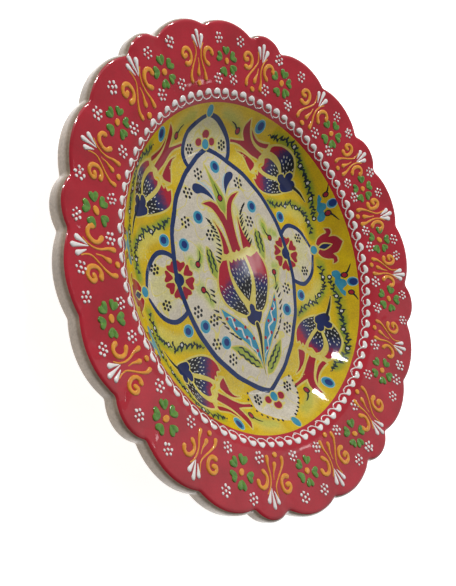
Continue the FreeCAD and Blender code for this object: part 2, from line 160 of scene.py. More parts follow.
def ringFaces(count, rings):   # quads between closed rings, with the last ring joined to the first
    faces = []
    for j in range(rings):
        a, b = j * count, ((j + 1) % rings) * count
        for i in range(count):
            k = (i + 1) % count
            faces.append((a + i, b + i, b + k, a + k))
    return faces


def bend(points, closed=False, steps=5):   # smooth curve through points; a third value marks a sharp one
    p = np.array([q[:2] for q in points], float)
    sharp = [len(q) > 2 for q in points]
    n = len(p)
    out = []
    for i in range(n if closed else n - 1):
        a, b = p[i], p[(i + 1) % n]
        before = p[i - 1] if (closed or i > 0) else a
        after = p[(i + 2) % n] if (closed or i + 2 < n) else b
        m0 = (b - a) * 0.6 if sharp[i] else (b - before) / 2
        m1 = (b - a) * 0.6 if sharp[(i + 1) % n] else (after - a) / 2
        for t in np.arange(steps) / steps:
            out.append((2 * t**3 - 3 * t**2 + 1) * a + (t**3 - 2 * t**2 + t) * m0
                       + (3 * t**2 - 2 * t**3) * b + (t**3 - t**2) * m1)
    if not closed:
        out.append(p[-1])
    return np.array(out)


def sideways(path):   # unit vectors to the left of a path
    along = np.gradient(path, axis=0)
    along /= np.maximum(np.linalg.norm(along, axis=1), 1e-9)[:, None]
    return np.stack([-along[:, 1], along[:, 0]], -1)


def spread(widths, path):   # widths given at even steps, read off along a path
    length = np.r_[0, np.cumsum(np.linalg.norm(np.diff(path, axis=0), axis=1))]
    return np.interp(length / length[-1], np.linspace(0, 1, len(widths)), widths)


def linear(hexColour):
    parts = [int(hexColour[i:i + 2], 16) / 255 for i in (1, 3, 5)]
    return tuple(c / 12.92 if c <= 0.04045 else ((c + 0.055) / 1.055) ** 2.4 for c in parts) + (1.0,)


def addNode(tree, kind, inputs=None, **settings):
    node = tree.nodes.new(kind)
    for key, value in settings.items():
        setattr(node, key, value)
    for key, value in (inputs or {}).items():
        if isinstance(value, bpy.types.NodeSocket):
            tree.links.new(value, node.inputs[key])
        else:
            node.inputs[key].default_value = value
    return node


def perMillimetre(size):   # noise scale, in object space, for patches about this many millimetres wide
    return 1000 / size


def blend(tree, factor, first, second, way="MIX"):   # the colour sockets of a mix node go by number
    return addNode(tree, "ShaderNodeMix", {0: factor, 6: first, 7: second}, data_type="RGBA",
                   blend_type=way).outputs[2]


brushwork = {"inkStreak": 1.6, "inkNudge": 0.42, "lineSpacing": 11, "lineSwirl": 0.6}   # sizes in mm


def ceramicMaterial(name, look):
    material = bpy.data.materials.new(name)
    material.use_nodes = True
    tree = material.node_tree
    shader = tree.nodes["Principled BSDF"]
    place = addNode(tree, "ShaderNodeTexCoord").outputs["Object"]
    drift = addNode(tree, "ShaderNodeTexNoise", {"Vector": place, "Scale": perMillimetre(look["patch"]),
                                                 "Detail": 3.0, "Roughness": 0.55}).outputs["Fac"]
    thin = addNode(tree, "ShaderNodeMapRange", {"Value": drift, "From Min": 0.35, "From Max": 0.65})
    mixed = blend(tree, thin.outputs["Result"], linear(look["colour"]), linear(look["second"]))
    for attribute, colour in look.get("washes", {}).items():
        amount = addNode(tree, "ShaderNodeAttribute", attribute_name=attribute).outputs["Fac"]
        uneven = addNode(tree, "ShaderNodeMapRange", {"Value": drift, "From Min": 0.3, "From Max": 0.6,
                                                      "To Min": 0.55, "To Max": 1.1}).outputs["Result"]
        brushed = addNode(tree, "ShaderNodeMath", {0: amount, 1: uneven}, operation="MULTIPLY",
                          use_clamp=True)
        mixed = blend(tree, brushed.outputs["Value"], mixed, linear(colour))
    if "ink" in look:
        streak = addNode(tree, "ShaderNodeTexNoise", {"Vector": place, "Detail": 2.0,
                                                      "Scale": perMillimetre(brushwork["inkStreak"])})
        depth = addNode(tree, "ShaderNodeAttribute", attribute_name="ink").outputs["Fac"]
        nudge = addNode(tree, "ShaderNodeMath", {0: streak.outputs["Fac"], 1: brushwork["inkNudge"],
                                                 2: -brushwork["inkNudge"] / 2}, operation="MULTIPLY_ADD")
        level = addNode(tree, "ShaderNodeMath", {0: depth, 1: nudge.outputs["Value"]}, operation="ADD")
        ramp = addNode(tree, "ShaderNodeValToRGB", {"Fac": level.outputs["Value"]})
        for position, colour in look["ink"][1:-1]:
            ramp.color_ramp.elements.new(position).color = linear(colour)
        for element, (position, colour) in zip((0, -1), (look["ink"][0], look["ink"][-1])):
            ramp.color_ramp.elements[element].position = position
            ramp.color_ramp.elements[element].color = linear(colour)
        mixed = ramp.outputs["Color"]
    grain = addNode(tree, "ShaderNodeTexNoise", {"Vector": place, "Scale": perMillimetre(look["grain"]),
                                                 "Detail": 2.0}).outputs["Fac"]
    shade = addNode(tree, "ShaderNodeMapRange", {"Value": grain, "From Min": 0.3, "From Max": 0.7,
                                                 "To Min": 1 - look["speckle"], "To Max": 1.0})
    mixed = blend(tree, 1.0, mixed, shade.outputs["Result"], "MULTIPLY")
    if "lines" in look:   # fine meandering brush lines: where a slow noise passes through its middle value
        colour, width, strength = look["lines"]
        slow = addNode(tree, "ShaderNodeTexNoise", {"Vector": place, "Detail": 0.0,
                                                    "Scale": perMillimetre(brushwork["lineSpacing"]),
                                                    "Distortion": brushwork["lineSwirl"]}).outputs["Fac"]
        away = addNode(tree, "ShaderNodeMath", {0: slow, 1: 0.5}, operation="SUBTRACT").outputs["Value"]
        near = addNode(tree, "ShaderNodeMath", {0: away}, operation="ABSOLUTE").outputs["Value"]
        line = addNode(tree, "ShaderNodeMapRange", {"Value": near, "From Min": width * 0.4, "From Max": width,
                                                    "To Min": strength, "To Max": 0.0}).outputs["Result"]
        mixed = blend(tree, line, mixed, linear(colour))
    tree.links.new(mixed, shader.inputs["Base Color"])
    wave = addNode(tree, "ShaderNodeTexNoise", {"Vector": place, "Scale": perMillimetre(look["ripple"]),
                                                "Detail": 1.0}).outputs["Fac"]
    bump = addNode(tree, "ShaderNodeBump", {"Height": wave, "Strength": look["bump"],
                                            "Distance": 0.4 * mm}).outputs["Normal"]
    tree.links.new(bump, shader.inputs["Normal"])
    shader.inputs["Roughness"].default_value = look["roughness"]
    shader.inputs["IOR"].default_value = look["ior"]
    if look.get("coat"):
        shader.inputs["Specular IOR Level"].default_value = look["undercoatShine"]
        tree.links.new(bump, shader.inputs["Coat Normal"])
        shader.inputs["Coat Weight"].default_value = look["coat"]
        shader.inputs["Coat Roughness"].default_value = look["coatRoughness"]
        shader.inputs["Coat IOR"].default_value = 1.5
    return material


# Underglaze painting on cream slip, under a clear gloss glaze: the brush colours lie flat and a little
# uneven, and all the shine comes from the glassy coat on top.
underglaze = {"patch": 9, "grain": 0.9, "speckle": 0.16, "ripple": 14, "bump": 0.12, "roughness": 0.55,
              "ior": 1.45, "coat": 0.65, "coatRoughness": 0.05, "undercoatShine": 0.05}
pigments = {
    "yellow": {"colour": "#e2c004", "second": "#d2ae0c", "speckle": 0.22,
               "washes": {"greenWash": "#8aa02c", "paleWash": "#dcce62"}},
    "cream": {"colour": "#ddd4c2", "second": "#d0c6b2", "speckle": 0.24, "lines": ("#d3c558", 0.03, 0.8),
              "washes": {"paleWash": "#ddd684", "greenWash": "#9ab53c"}},
    "paleYellow": {"colour": "#dbce70", "second": "#d0bd5c"},
    "cobalt": {"colour": "#12295c", "second": "#1c3566"},
    "navy": {"colour": "#0c1a4e", "second": "#14255c"},
    "blue": {"colour": "#0d2c70", "second": "#183a7c"},
    "black": {"colour": "#14151a", "second": "#1f2326"},
    "vine": {"colour": "#17242a", "second": "#223a3a"},
    "red": {"colour": "#a5172b", "second": "#9a2034"},
    "turquoise": {"colour": "#2a86a8", "second": "#3f98b2"},
    "paleBlue": {"colour": "#9fc3cf", "second": "#b4ccd0"},
    "leafGreen": {"colour": "#a9b347", "second": "#8a9f3a"},
    "white": {"colour": "#dedbd0", "second": "#cfd0ca"},
    "tulip": {"colour": "#a81c34", "second": "#a81c34",
              "ink": [(0.18, "#ad1c32"), (0.42, "#4a2c5c"), (0.6, "#22305f"), (0.82, "#17191f")]},
}
# Opaque red glaze, dipped and fired glossy: deep crimson, thinner and pinker where it runs off edges.
redGlaze = {"colour": "#bc0f2a", "second": "#a80a22", "patch": 22, "grain": 1.1, "speckle": 0.10,
            "ripple": 11, "bump": 0.42, "roughness": 0.30, "ior": 1.5, "coat": 0.8,
            "coatRoughness": 0.05, "undercoatShine": 0.1}
# Beige glaze on the bare body: stony, mottled by the clay under it, and as glossy as the front.
beigeGlaze = {"colour": "#ab9884", "second": "#948270", "patch": 16, "grain": 1.4, "speckle": 0.28,
              "ripple": 7, "bump": 0.25, "roughness": 0.35, "ior": 1.5, "coat": 0.8,
              "coatRoughness": 0.09, "undercoatShine": 0.2}
# Bare fired earthenware on the foot ring: chalky, matt and gritty.
biscuit = {"colour": "#c9b79c", "second": "#bba88c", "patch": 12, "grain": 0.7, "speckle": 0.3,
           "ripple": 1.2, "bump": 0.5, "roughness": 0.9, "ior": 1.45}
# Slip-trailed enamel: thick glassy trails that stand up from the glaze and catch the light.
enamel = {"grain": 0.8, "ripple": 2.5, "bump": 0.35, "roughness": 0.28, "ior": 1.5,
          "coat": 0.6, "coatRoughness": 0.08, "undercoatShine": 0.2}
greenEnamel = {**enamel, "colour": "#6a9a36", "second": "#4c8228", "patch": 3, "speckle": 0.15}
orangeEnamel = {**enamel, "colour": "#f0a430", "second": "#e08e26", "patch": 3.5, "speckle": 0.10}
whiteEnamel = {**enamel, "colour": "#faf8f5", "second": "#eeeae6", "patch": 4, "speckle": 0.06,
               "grain": 0.9, "bump": 0.3}


# Painting of the well: shapes are laid one over the other, and what lies on top shows.
paint = []       # (pigment, outline) from the ground up
washes = {"greenWash": [], "paleWash": []}     # (path, width, strength) of soft brush washes
petals = []      # (outline, tip, base) of petals that darken towards their base
middle = (-1.5, 0.5)    # the design is mirrored about this point
everySide = [(1, 1), (-1, 1), (1, -1), (-1, -1)]
bothSides = everySide[:2]
unsteady = 0.32                # how far a painted line strays, in mm
sideFlower = {"petals": 8, "reach": 11.6}
vineStroke = {"step": 1.15, "beat": 1.45, "sway": 0.42}   # step in mm, and how fast and far it waves


def mirrored(points, flip):
    p = np.array([q[:2] for q in points], float)
    p = np.array(middle) + (p - middle) * flip
    return [(x, y, 1) if len(q) > 2 else (x, y) for (x, y), q in zip(p, points)]


def wobble(path):   # the unevenness of a hand
    x, y = path[:, 0], path[:, 1]
    stray = [np.sin(x * 0.31 + y * 0.17 + 1.3), np.sin(y * 0.29 - x * 0.13 + 0.4)]
    return path + unsteady * np.stack(stray, -1)


def area(pigment, points, flip=(1, 1), halo=0, steps=5):   # painted shape, with a pale line round it
    outline = wobble(bend(mirrored(points, flip), True, steps))
    if halo:
        x, y = outline.T
        turn = np.sign(np.sum(x * np.roll(y, -1) - np.roll(x, -1) * y))
        along = np.roll(outline, -1, 0) - np.roll(outline, 1, 0)
        along /= np.maximum(np.linalg.norm(along, axis=1), 1e-9)[:, None]
        paint.append(("paleYellow", outline + halo * turn * np.stack([along[:, 1], -along[:, 0]], -1)))
    paint.append((pigment, outline))
    return outline


def brush(pigment, points, widths, flip=(1, 1), steps=5):   # stroke with round ends; widths are full widths
    path = wobble(bend(mirrored(points, flip), False, steps))
    half = spread(np.atleast_1d(widths) if np.ndim(widths) else [widths, widths], path) / 2
    side = sideways(path)
    ends = []
    for index, sign in ((-1, 1), (0, -1)):
        a = np.linspace(0, math.pi, 6)[1:-1, None]
        along = np.array([side[index][1], -side[index][0]])
        ends.append(path[index] + half[index] * sign * (np.cos(a) * side[index] + np.sin(a) * along))
    paint.append((pigment, np.vstack([path + side * half[:, None], ends[0],
                                      (path - side * half[:, None])[::-1], ends[1]])))


def spot(pigment, x, y, rx, ry=None, flip=(1, 1), steps=12):
    a = np.linspace(0, 2 * math.pi, steps, endpoint=False)
    centre = mirrored([(x, y)], flip)[0]
    paint.append((pigment, np.stack([rx * np.cos(a), (ry or rx) * np.sin(a)], -1) + centre))


def wash(kind, points, width, strength=1.0, flip=(1, 1)):
    washes[kind].append((bend(mirrored(points, flip), False, 3), width, strength))


def ringedDot(x, y, outer=3.9, inner=2.3, flip=(1, 1)):   # the dark eye never sits quite in the middle
    spot("paleBlue", x, y, outer + 0.35, flip=flip, steps=20)
    spot("turquoise", x, y, outer, flip=flip, steps=20)
    spot("blue", x + 0.4, y + 0.2, inner, flip=flip, steps=16)


def dotCluster(x, y, ring=2.9, dot=1.0):
    start = hand.uniform(0, 1)
    for k in range(6):
        a = start + k * math.pi / 3
        spot("black", x + ring * math.cos(a), y + ring * math.sin(a), dot * hand.uniform(0.9, 1.15), steps=8)
    spot("black", x, y, dot, steps=8)


def dropAndTail(x, y, tail, flip=(1, 1), size=1.9):
    brush("black", tail + [(x, y)], [0.5, 1.0, 1.5], flip, 4)
    spot("black", x, y, size + 0.5, flip=flip)
    spot("red", x, y, size - 0.25, flip=flip)


def dashes(pigment, ring, count, towards, size=(1.8, 0.62), flip=(1, 1)):   # short strokes inside an outline
    made, tries = [], 0
    low, high = ring.min(0), ring.max(0)
    towards = np.array(mirrored([towards], flip)[0][:2])
    while len(made) < count and tries < 4000:
        tries += 1
        p = np.array([hand.uniform(low[0], high[0]), hand.uniform(low[1], high[1])])
        if not inside(ring, p[None])[0] or any(np.hypot(*(p - q)) < 1.25 * size[0] for q in made):
            continue
        way = (towards - p) / np.hypot(*(towards - p))
        if not inside(ring, (p + way * size[0])[None])[0] or not inside(ring, (p - way * size[0])[None])[0]:
            continue
        made.append(p)
        length, width = size[0] * hand.uniform(0.75, 1.2), size[1]
        across = np.array([-way[1], way[0]])
        t = np.linspace(0, 2 * math.pi, 7)[:-1, None]
        paint.append((pigment, p + way * np.cos(t) * length / 2 + across * np.sin(t) * width / 2))


def inside(outline, points):   # even for outlines that cross themselves, by winding number
    winding = np.zeros(len(points))
    x, y = points[:, 0], points[:, 1]
    for (ax, ay), (bx, by) in zip(outline, np.roll(outline, -1, 0)):
        cross = (bx - ax) * (y - ay) - (x - ax) * (by - ay)
        winding += ((ay <= y) & (by > y) & (cross > 0)).astype(int)
        winding -= ((ay > y) & (by <= y) & (cross < 0)).astype(int)
    return winding != 0


def hatch(points, count, lean, length):   # row of short tapered strokes along a path, all leaning alike
    path = bend(points, False, 8)
    for k in range(count):
        x, y = path[int(k * (len(path) - 1) / (count - 1))]
        size = length * hand.uniform(0.85, 1.15)
        a = math.radians(lean + hand.uniform(-6, 6))
        tip = (x + size * math.cos(a), y + size * math.sin(a))
        brush("black", [(x, y), ((x + tip[0]) / 2, (y + tip[1]) / 2), tip], [1.45, 1.1, 0.35], steps=2)


def garland(points, size, flip, beads):   # a waving vine with leaflets on both sides, and white beads
    path = bend(points, False, 8)
    length = np.r_[0, np.cumsum(np.linalg.norm(np.diff(path, axis=0), axis=1))]
    along = np.arange(0, length[-1], vineStroke["step"])
    path = np.stack([np.interp(along, length, path[:, k]) for k in (0, 1)], -1)
    side = sideways(path)
    vine = path + side * (np.sin(along * vineStroke["beat"]) * size * vineStroke["sway"])[:, None]
    brush("vine", [tuple(p) for p in vine], [0.6, 1.0, 1.0, 0.6], flip, 2)
    for k in range(2, len(vine) - 1, 2):
        way = np.array([side[k][1], -side[k][0]])
        for sign in ((1, -1) if k % 4 == 0 else (1 if k % 8 == 2 else -1,)):
            lean = way * hand.uniform(0.5, 1.1) + side[k] * sign
            tip = vine[k] + lean / np.linalg.norm(lean) * size * hand.uniform(0.85, 1.15)
            bulge = (vine[k] + tip) / 2 + way * 0.6
            brush("vine", [tuple(vine[k]), tuple(bulge), tuple(tip)], [0.6, 1.9, 0.6], flip, 2)
    for x, y in beads:
        spot("black", x, y, 1.7, flip=flip)
        spot("white", x, y, 0.9, flip=flip)


def roundFlower(x, y):   # ring of notched red petals
    petalCount, reach = sideFlower["petals"], sideFlower["reach"]
    spot("paleYellow", x, y, reach * 0.62, steps=24)
    for k in range(petalCount):
        a = (k + 0.5) * 2 * math.pi / petalCount
        half = math.pi / petalCount * 0.94
        ring = []
        for turn, out, sharp in ((-0.35, 0.42, 1), (-1.0, 0.86, 0), (-0.62, 1.02, 0), (-0.05, 0.9, 1),
                                 (0.62, 1.02, 0), (1.0, 0.86, 0), (0.35, 0.42, 1)):
            p = (x + reach * out * math.cos(a + turn * half), y + reach * out * math.sin(a + turn * half))
            ring.append(p + ((1,) if sharp else ()))
        area("red", ring, halo=0.55, steps=3)
    spot("paleYellow", x, y, reach * 0.42, steps=20)
    spot("navy", x, y, reach * 0.33, steps=18)


def fadingPetal(points, tip, base, flip=(1, 1), halo=0.9):   # red at the tip, ink at the base
    outline = area("tulip", points, flip, halo)
    petals.append((outline, *(np.array(p) for p in mirrored([tip, base], flip))))
    return petals[-1]


medallion = {"bend": 84, "leftEdge": -53.3, "rightEdge": 50.2, "level": 0.5, "line": 3.2}


def pointedOval(grow):   # two arcs that meet in an upper and a lower tip
    radius = medallion["bend"] + grow
    centres = (medallion["rightEdge"] - medallion["bend"], medallion["leftEdge"] + medallion["bend"])
    half = (centres[1] - centres[0]) / 2
    reach = math.acos(half / radius)
    a = np.linspace(-reach, reach, 41)[:-1]
    right = np.stack([centres[0] + radius * np.cos(a), medallion["level"] + radius * np.sin(a)], -1)
    left = np.stack([centres[1] - radius * np.cos(a), medallion["level"] - radius * np.sin(a)], -1)
    return np.vstack([right, left])


def paintFrames():   # blue lines of the medallion and its four lobes
    topFrame = [(-1, 96.5), (4, 95), (9.5, 92), (14.5, 88), (17.6, 83.5), (18.7, 78.5), (17.8, 73),
                (15.5, 69.5)]
    topLeft = [(-3.2, 96), (-8, 94.6), (-13.5, 91.7), (-18.5, 87.7), (-21.8, 82), (-23, 76.5), (-21.8, 71.5),
               (-20, 68)]
    area("cream", topLeft[::-1] + topFrame + [(5, 74), (-10, 74)], steps=4)
    lower = [(19, -73), (20.5, -77), (19.5, -84.5), (14, -90), (7, -94.5), (0, -97)]
    area("cream", [(-x - 1, y) for x, y in lower] + [(x, y) for x, y in lower[::-1]] + [(0, -74)], steps=4)
    rightUpper = [(47, 14.5), (51, 18.3), (55.5, 20.5), (60.5, 20.6), (66, 17.8), (71, 12), (75.5, 3.5)]
    rightLower = [(76, -3), (72.3, -11), (67, -16.5), (60.5, -19.5), (55, -19), (50, -16.5), (46, -13)]
    for flip in bothSides:
        area("cream", rightUpper + rightLower, flip, steps=4)
        brush("cobalt", rightUpper, [2.6, 3.0, 2.8, 1.9], flip)
        brush("cobalt", rightLower, [1.9, 2.8, 3.0, 2.6], flip)
    for path in ([(-12, 88), (-4, 91), (6, 88), (12, 82)], [(60, 8), (66, 2), (60, -6)],
                 [(-64, 8), (-70, 2), (-64, -6)]):
        wash("paleWash", path, 7, 0.6)
    for side in (topFrame, topLeft):
        brush("cobalt", side, [2.2, 3.0, 3.2, 3.2, 2.8])
    paint.append(("cobalt", wobble(pointedOval(medallion["line"] / 2))))
    paint.append(("cream", wobble(pointedOval(-medallion["line"] / 2))))
    for x, y in lower[:1] + [(20.6, -76.6), (20.6, -80.6), (19, -84.5), (17, -87.5), (14.2, -90), (11.2, -92),
                             (8.1, -93.7), (5, -95)]:
        for flip in bothSides:
            spot("black", x, y, 0.85, flip=flip, steps=8)
    for x, y in ((13, 79), (-16.5, 78.5), (14, -78.5), (-15.5, -79), (65, 11), (63, -11.5), (-68.5, 12.5),
                 (-66.5, -9)):
        dotCluster(x, y, 2.5)
    for x, y, rx, ry in ((-1, 86.2, 3.2, 2.5), (4.3, 81.6, 2.6, 2.3), (-7.6, 82, 2.9, 2.3),
                         (5, -82, 2.9, 2.3), (-7, -81.5, 2.9, 2.3), (-1.5, -86.3, 3.3, 2.4)):
        spot("paleYellow", x, y, rx + 0.7, ry + 0.7)
        spot("red", x, y, rx, ry)
    for x, y, r in ((-1.5, 80.5, 3), (-1, -81, 3), (-1, 98.2, 2.7), (0.5, -98.6, 2.7), (78, 0.5, 2.9),
                    (-81, 1.5, 3)):
        spot("paleYellow", x, y, r + 0.8, steps=18)
        spot("turquoise", x, y, r, r * (1.15 if abs(y) > 90 else 1), steps=18)


def paintCentralTulip():
    wash("paleWash", [(-8, 40), (-12, 28), (-10, 12), (-20, 0), (-22, -14)], 6, 0.7)
    wash("paleWash", [(8, 40), (14, 26), (15, 12), (26, 2), (26, -12)], 6, 0.7)
    cup = [(-12.5, 8.8, 1), (-17.3, 4.5), (-20.6, -2.5), (-21.4, -10), (-18.7, -17.5), (-12.5, -24),
           (-5, -28.3), (3, -30.3), (11.5, -28.2), (17.5, -22.5), (22, -15), (24.6, -6), (24, 2),
           (20.8, 9, 1), (16.5, 7.6), (13, 7.2, 1), (9.4, 8.6, 1), (6, 6.8), (3.3, 6.2, 1), (0.8, 7.4),
           (-1.8, 7, 1), (-4.5, 6), (-8, 8.6, 1)]
    area("paleYellow", cup, halo=1.5)
    left = [(-12.2, 8.4, 1), (-17.3, 4.2), (-20.4, -2.7), (-21.2, -10), (-18.5, -17.3), (-12.5, -23.6),
            (-5.5, -27.5), (-1, -28.5, 1), (-3.6, -22), (-7.3, -14), (-9.4, -4), (-8.8, 8.2, 1)]
    centre = [(-7, 7.4, 1), (-5, 5.4), (-3.4, 7.6, 1), (-1, 5.6), (0.6, 7.6, 1), (2.6, 5.4), (4.2, 7, 1),
              (5.8, 5.2), (7.2, 7.2, 1), (9, 0), (8.2, -8), (5.4, -15), (2, -20.5, 1), (-1.8, -15.5),
              (-5.4, -8), (-7.6, 0)]
    right = [(9.6, 8.3, 1), (13, 6.6), (16.5, 7.4), (20.5, 8.9, 1), (23.8, 2), (24.4, -6), (21.8, -15),
             (17.2, -22.3), (11.5, -27.6), (5, -28.5, 1), (7.6, -20), (10.6, -12), (11.8, -3)]
    for outline, count, tipLevel, baseLevel, dashLevel in ((left, 46, 4, -19, -5), (centre, 44, 14, -14, 5),
                                                           (right, 52, 4, -19, -5)):
        ring = fadingPetal(outline, (outline[0][0], tipLevel), (2, baseLevel), halo=0)[0]
        dashes("white", ring[ring[:, 1] < dashLevel], count, (2, -30))
    area("paleYellow", [(-13, 12.6, 1), (-9, 11.2), (-4, 12), (2, 11), (8, 12.2), (13, 11.4), (18.5, 13, 1),
                        (19.8, 10, 1), (14, 8.6), (9.5, 9.6), (5, 8), (0, 8.8), (-5, 7.8), (-10, 9.6),
                        (-14, 9, 1)])
    band = [(17.8, 48.6, 1), (11.2, 44), (7.2, 37.5), (5.4, 28), (5.4, 19), (6.4, 12.6, 1), (4.4, 11.3),
            (2.4, 13.2, 1), (0.3, 11.6), (-1.9, 12.6, 1), (-2.2, 19), (-3, 27.5), (-5.6, 35), (-10, 41),
            (-17, 44.6, 1), (-9.5, 45), (-3.8, 41.3), (-1, 37), (0.5, 32, 1), (2.2, 37), (5.2, 42.2),
            (10.5, 46.8)]
    rightSide = [(11.4, 32.8, 1), (11.6, 26.5), (13.3, 20), (16.9, 13.7, 1), (14.5, 12), (12, 13),
                 (8.7, 12.4, 1), (8.9, 19), (9.8, 26)]
    leftSide = [(-11.2, 33.8, 1), (-9.2, 27), (-8.9, 19), (-10, 12.6, 1), (-7.5, 11.6), (-4.9, 12.6, 1),
                (-5.4, 20), (-7.6, 27.5)]
    for outline in (band, rightSide, leftSide):
        area("red", outline, halo=1.1)
    area("navy", [(2.5, -22), (4.7, -23.4), (5.2, -26.6, 1), (8, -28), (10.3, -28.6), (9.2, -31.8),
                  (6.4, -34.8), (2.8, -36.3), (-1, -35), (-4, -31.8), (-4.6, -28.9), (-2, -28.2),
                  (0, -26.8, 1), (0.4, -23.6)],
         halo=0.9)
    brush("paleYellow", [(2.9, -35.5), (2.8, -42), (1.2, -52), (-0.9, -62), (-1.6, -67)],
          [4.4, 4, 2.6, 1.4, 0.8])
    brush("black", [(2.9, -35.5), (2.9, -42), (1.3, -52), (-0.8, -62), (-1.6, -66.5)],
          [3, 2.8, 1.7, 0.8, 0.3])


def paintLeaves():
    rightLeaf = [(26.6, -19.5, 1), (26, -27.5), (21.6, -37), (14, -46), (6, -54.5), (0.6, -62, 1), (2.6, -54),
                 (5, -46), (9.5, -38.2), (16, -31), (22.6, -25)]
    leftLeaf = [(-25, -19.3, 1), (-22.8, -29), (-16.4, -38.5), (-8.4, -47), (-3.2, -55), (-1.8, -63, 1),
                (-1, -55), (-1.5, -46.5), (-5, -38.3), (-11, -30.7), (-18.3, -25)]
    for leaf in (rightLeaf, leftLeaf):
        area("turquoise", leaf, halo=0.9)
    for start, stop, bow in (((23.5, -26), (3, -57), -0.4), ((-21, -26), (-3, -57), 3.2)):
        t = np.linspace(0, 1, 17)
        line = np.outer(1 - t, start) + np.outer(t, stop)
        line[:, 0] += bow * np.sin(t * math.pi)
        side = sideways(line)
        zigzag = line + side * (1.7 * np.sin(t * 8 * math.pi) * (1 - t * 0.6))[:, None]
        brush("white", [tuple(p) for p in zigzag], [0.8, 1.25, 1.2, 0.5], steps=3)
    for x, y in ((25, -24), (20.3, -29), (14, -35.5), (20, -36), (14, -43.2), (7.3, -45), (6.3, -51.5),
                 (-22, -26.5), (-16, -28.5), (-16.3, -34), (-8.3, -34.8), (-9.2, -41), (-3.4, -43),
                 (-3, -51)):
        spot("red", x, y, 1.15, steps=10)
    area("leafGreen", [(-5.6, 67.6, 1), (-2.4, 60), (1, 54), (3.4, 48), (3.7, 42.5), (0.5, 36.3, 1), (-3, 41),
                       (-4.2, 47), (-4, 54), (-4.4, 60)], halo=0.9)
    dropAndTail(0, 46.3, [(-1.7, 55.5), (-0.7, 51)])
    blueLeaf = [(17.8, 60), (15.8, 62), (11.2, 61.4), (8, 58), (6.6, 53), (6.3, 47.4, 1), (8.8, 51.8),
                (12.2, 55), (16.2, 57.4)]
    leftBlue = [(-21.7, 54.2), (-19.2, 57.3), (-14.6, 56.6), (-9.9, 53), (-6.9, 48.3), (-5.9, 44.8, 1),
                (-10, 48.8), (-14.2, 51.3), (-19.2, 51.6)]
    for outline in (blueLeaf, leftBlue):
        area("cobalt", outline)
    brush("paleBlue", [(10.2, 61.4), (7, 57.6), (5.7, 53), (5.6, 47)], [0.6, 1.1, 1.1, 0.5])
    brush("paleBlue", [(-15, 58.7), (-9.8, 55), (-6, 50), (-4.4, 45)], [0.6, 1.1, 1.1, 0.5])
    for x, y in ((25.5, 13.5), (-22, 8.5)):
        area("leafGreen", [(x - 1, y + 10, 1), (x - 3.4, y + 3), (x - 2.8, y - 5), (x + 0.6, y - 10.5, 1),
                           (x + 3.6, y - 3), (x + 2.6, y + 5)], halo=0.9)
        for way in (-1, 1):
            loops = [(x + way * (1.3 + 0.9 * (k % 2)), y + 7.5 - 1.9 * k) for k in range(8)]
            brush("vine", loops, [1.0, 1.5, 0.9], steps=4)
    lowRight = [(1, -66.8, 1), (3.4, -61.5), (9, -55.5), (15, -52), (21, -49.8, 1), (17.8, -57), (11.5, -63),
                (6, -66.4)]
    lowLeft = [(-24.5, -43.5, 1), (-18, -45), (-11.6, -48.4), (-6, -54), (-3, -62.5, 1), (-8, -59.7),
               (-14, -54.4), (-19.5, -49)]
    for leaf, start, stop in ((lowRight, (4, -63.5), (17, -53)), (lowLeft, (-19, -46.5), (-5, -60))):
        area("leafGreen", leaf, halo=0.9)
        for way in (-1, 1):
            t = np.linspace(0, 1, 9)
            line = np.outer(1 - t, start) + np.outer(t, stop)
            side = sideways(line)
            line += side * (way * (1.3 + 0.9 * (np.arange(9) % 2)))[:, None]
            brush("vine", [tuple(p) for p in line], [1.0, 1.5, 0.9], steps=4)
    drops = [((36.5, 15.5), [(32.3, 23.5), (33.8, 18.5)], [(33, 26), (34, 18), (39, 19), (42, 17)]),
             ((31.8, -6.8), [(30, -15), (31.5, -10)], [(30, -16), (32, -9), (36, -4), (33, -3)]),
             ((-34, 9.5), [(-30.2, 17), (-31, 12.5)], [(-29, 18), (-33, 9), (-38, 10), (-39, 13)]),
             ((-35, -6), [(-31.8, -14), (-32, -9.5)], [(-31, -15), (-34, -8), (-38, -5), (-36, -3)])]
    for (x, y), tail, wisp in drops:
        wash("greenWash", wisp, 2.6, 0.95)
        wash("paleWash", wisp, 5, 0.8)
        dropAndTail(x, y, tail, size=1.7)
    for x, y in ((2.8, 66), (27, 37.5), (-23.5, 37), (-41, 22.5), (34.5, -32.5), (-41.5, -27), (-28, -40)):
        ringedDot(x, y)
    for x, y in ((20, 54), (-26.5, 52.5), (-13.5, 63), (21, 28.5), (-17, 25), (-35, 35.5), (39.5, -19),
                 (30, -43.5), (-44, -17.5), (-33, -25), (-36, -39), (-26, -51)):
        dotCluster(x, y)
    hatch([(18.3, 38.8), (15, 35), (13.4, 30), (13.2, 25), (14.2, 19.5), (16.2, 14.5)], 12, 38, 3.8)
    hatch([(-14.8, 33.5), (-12.2, 29), (-10.8, 24), (-10.8, 18), (-12, 12.5), (-14.6, 8)], 12, 146, 3.8)
    hatch([(28.6, -17), (29.8, -23), (28.7, -30), (25.3, -37), (20.5, -43), (16, -47)], 10, 38, 3.5)
    hatch([(-26.5, -9), (-28, -15), (-27.4, -24), (-24.2, -31), (-19.8, -37), (-15, -41)], 10, 146, 3.5)


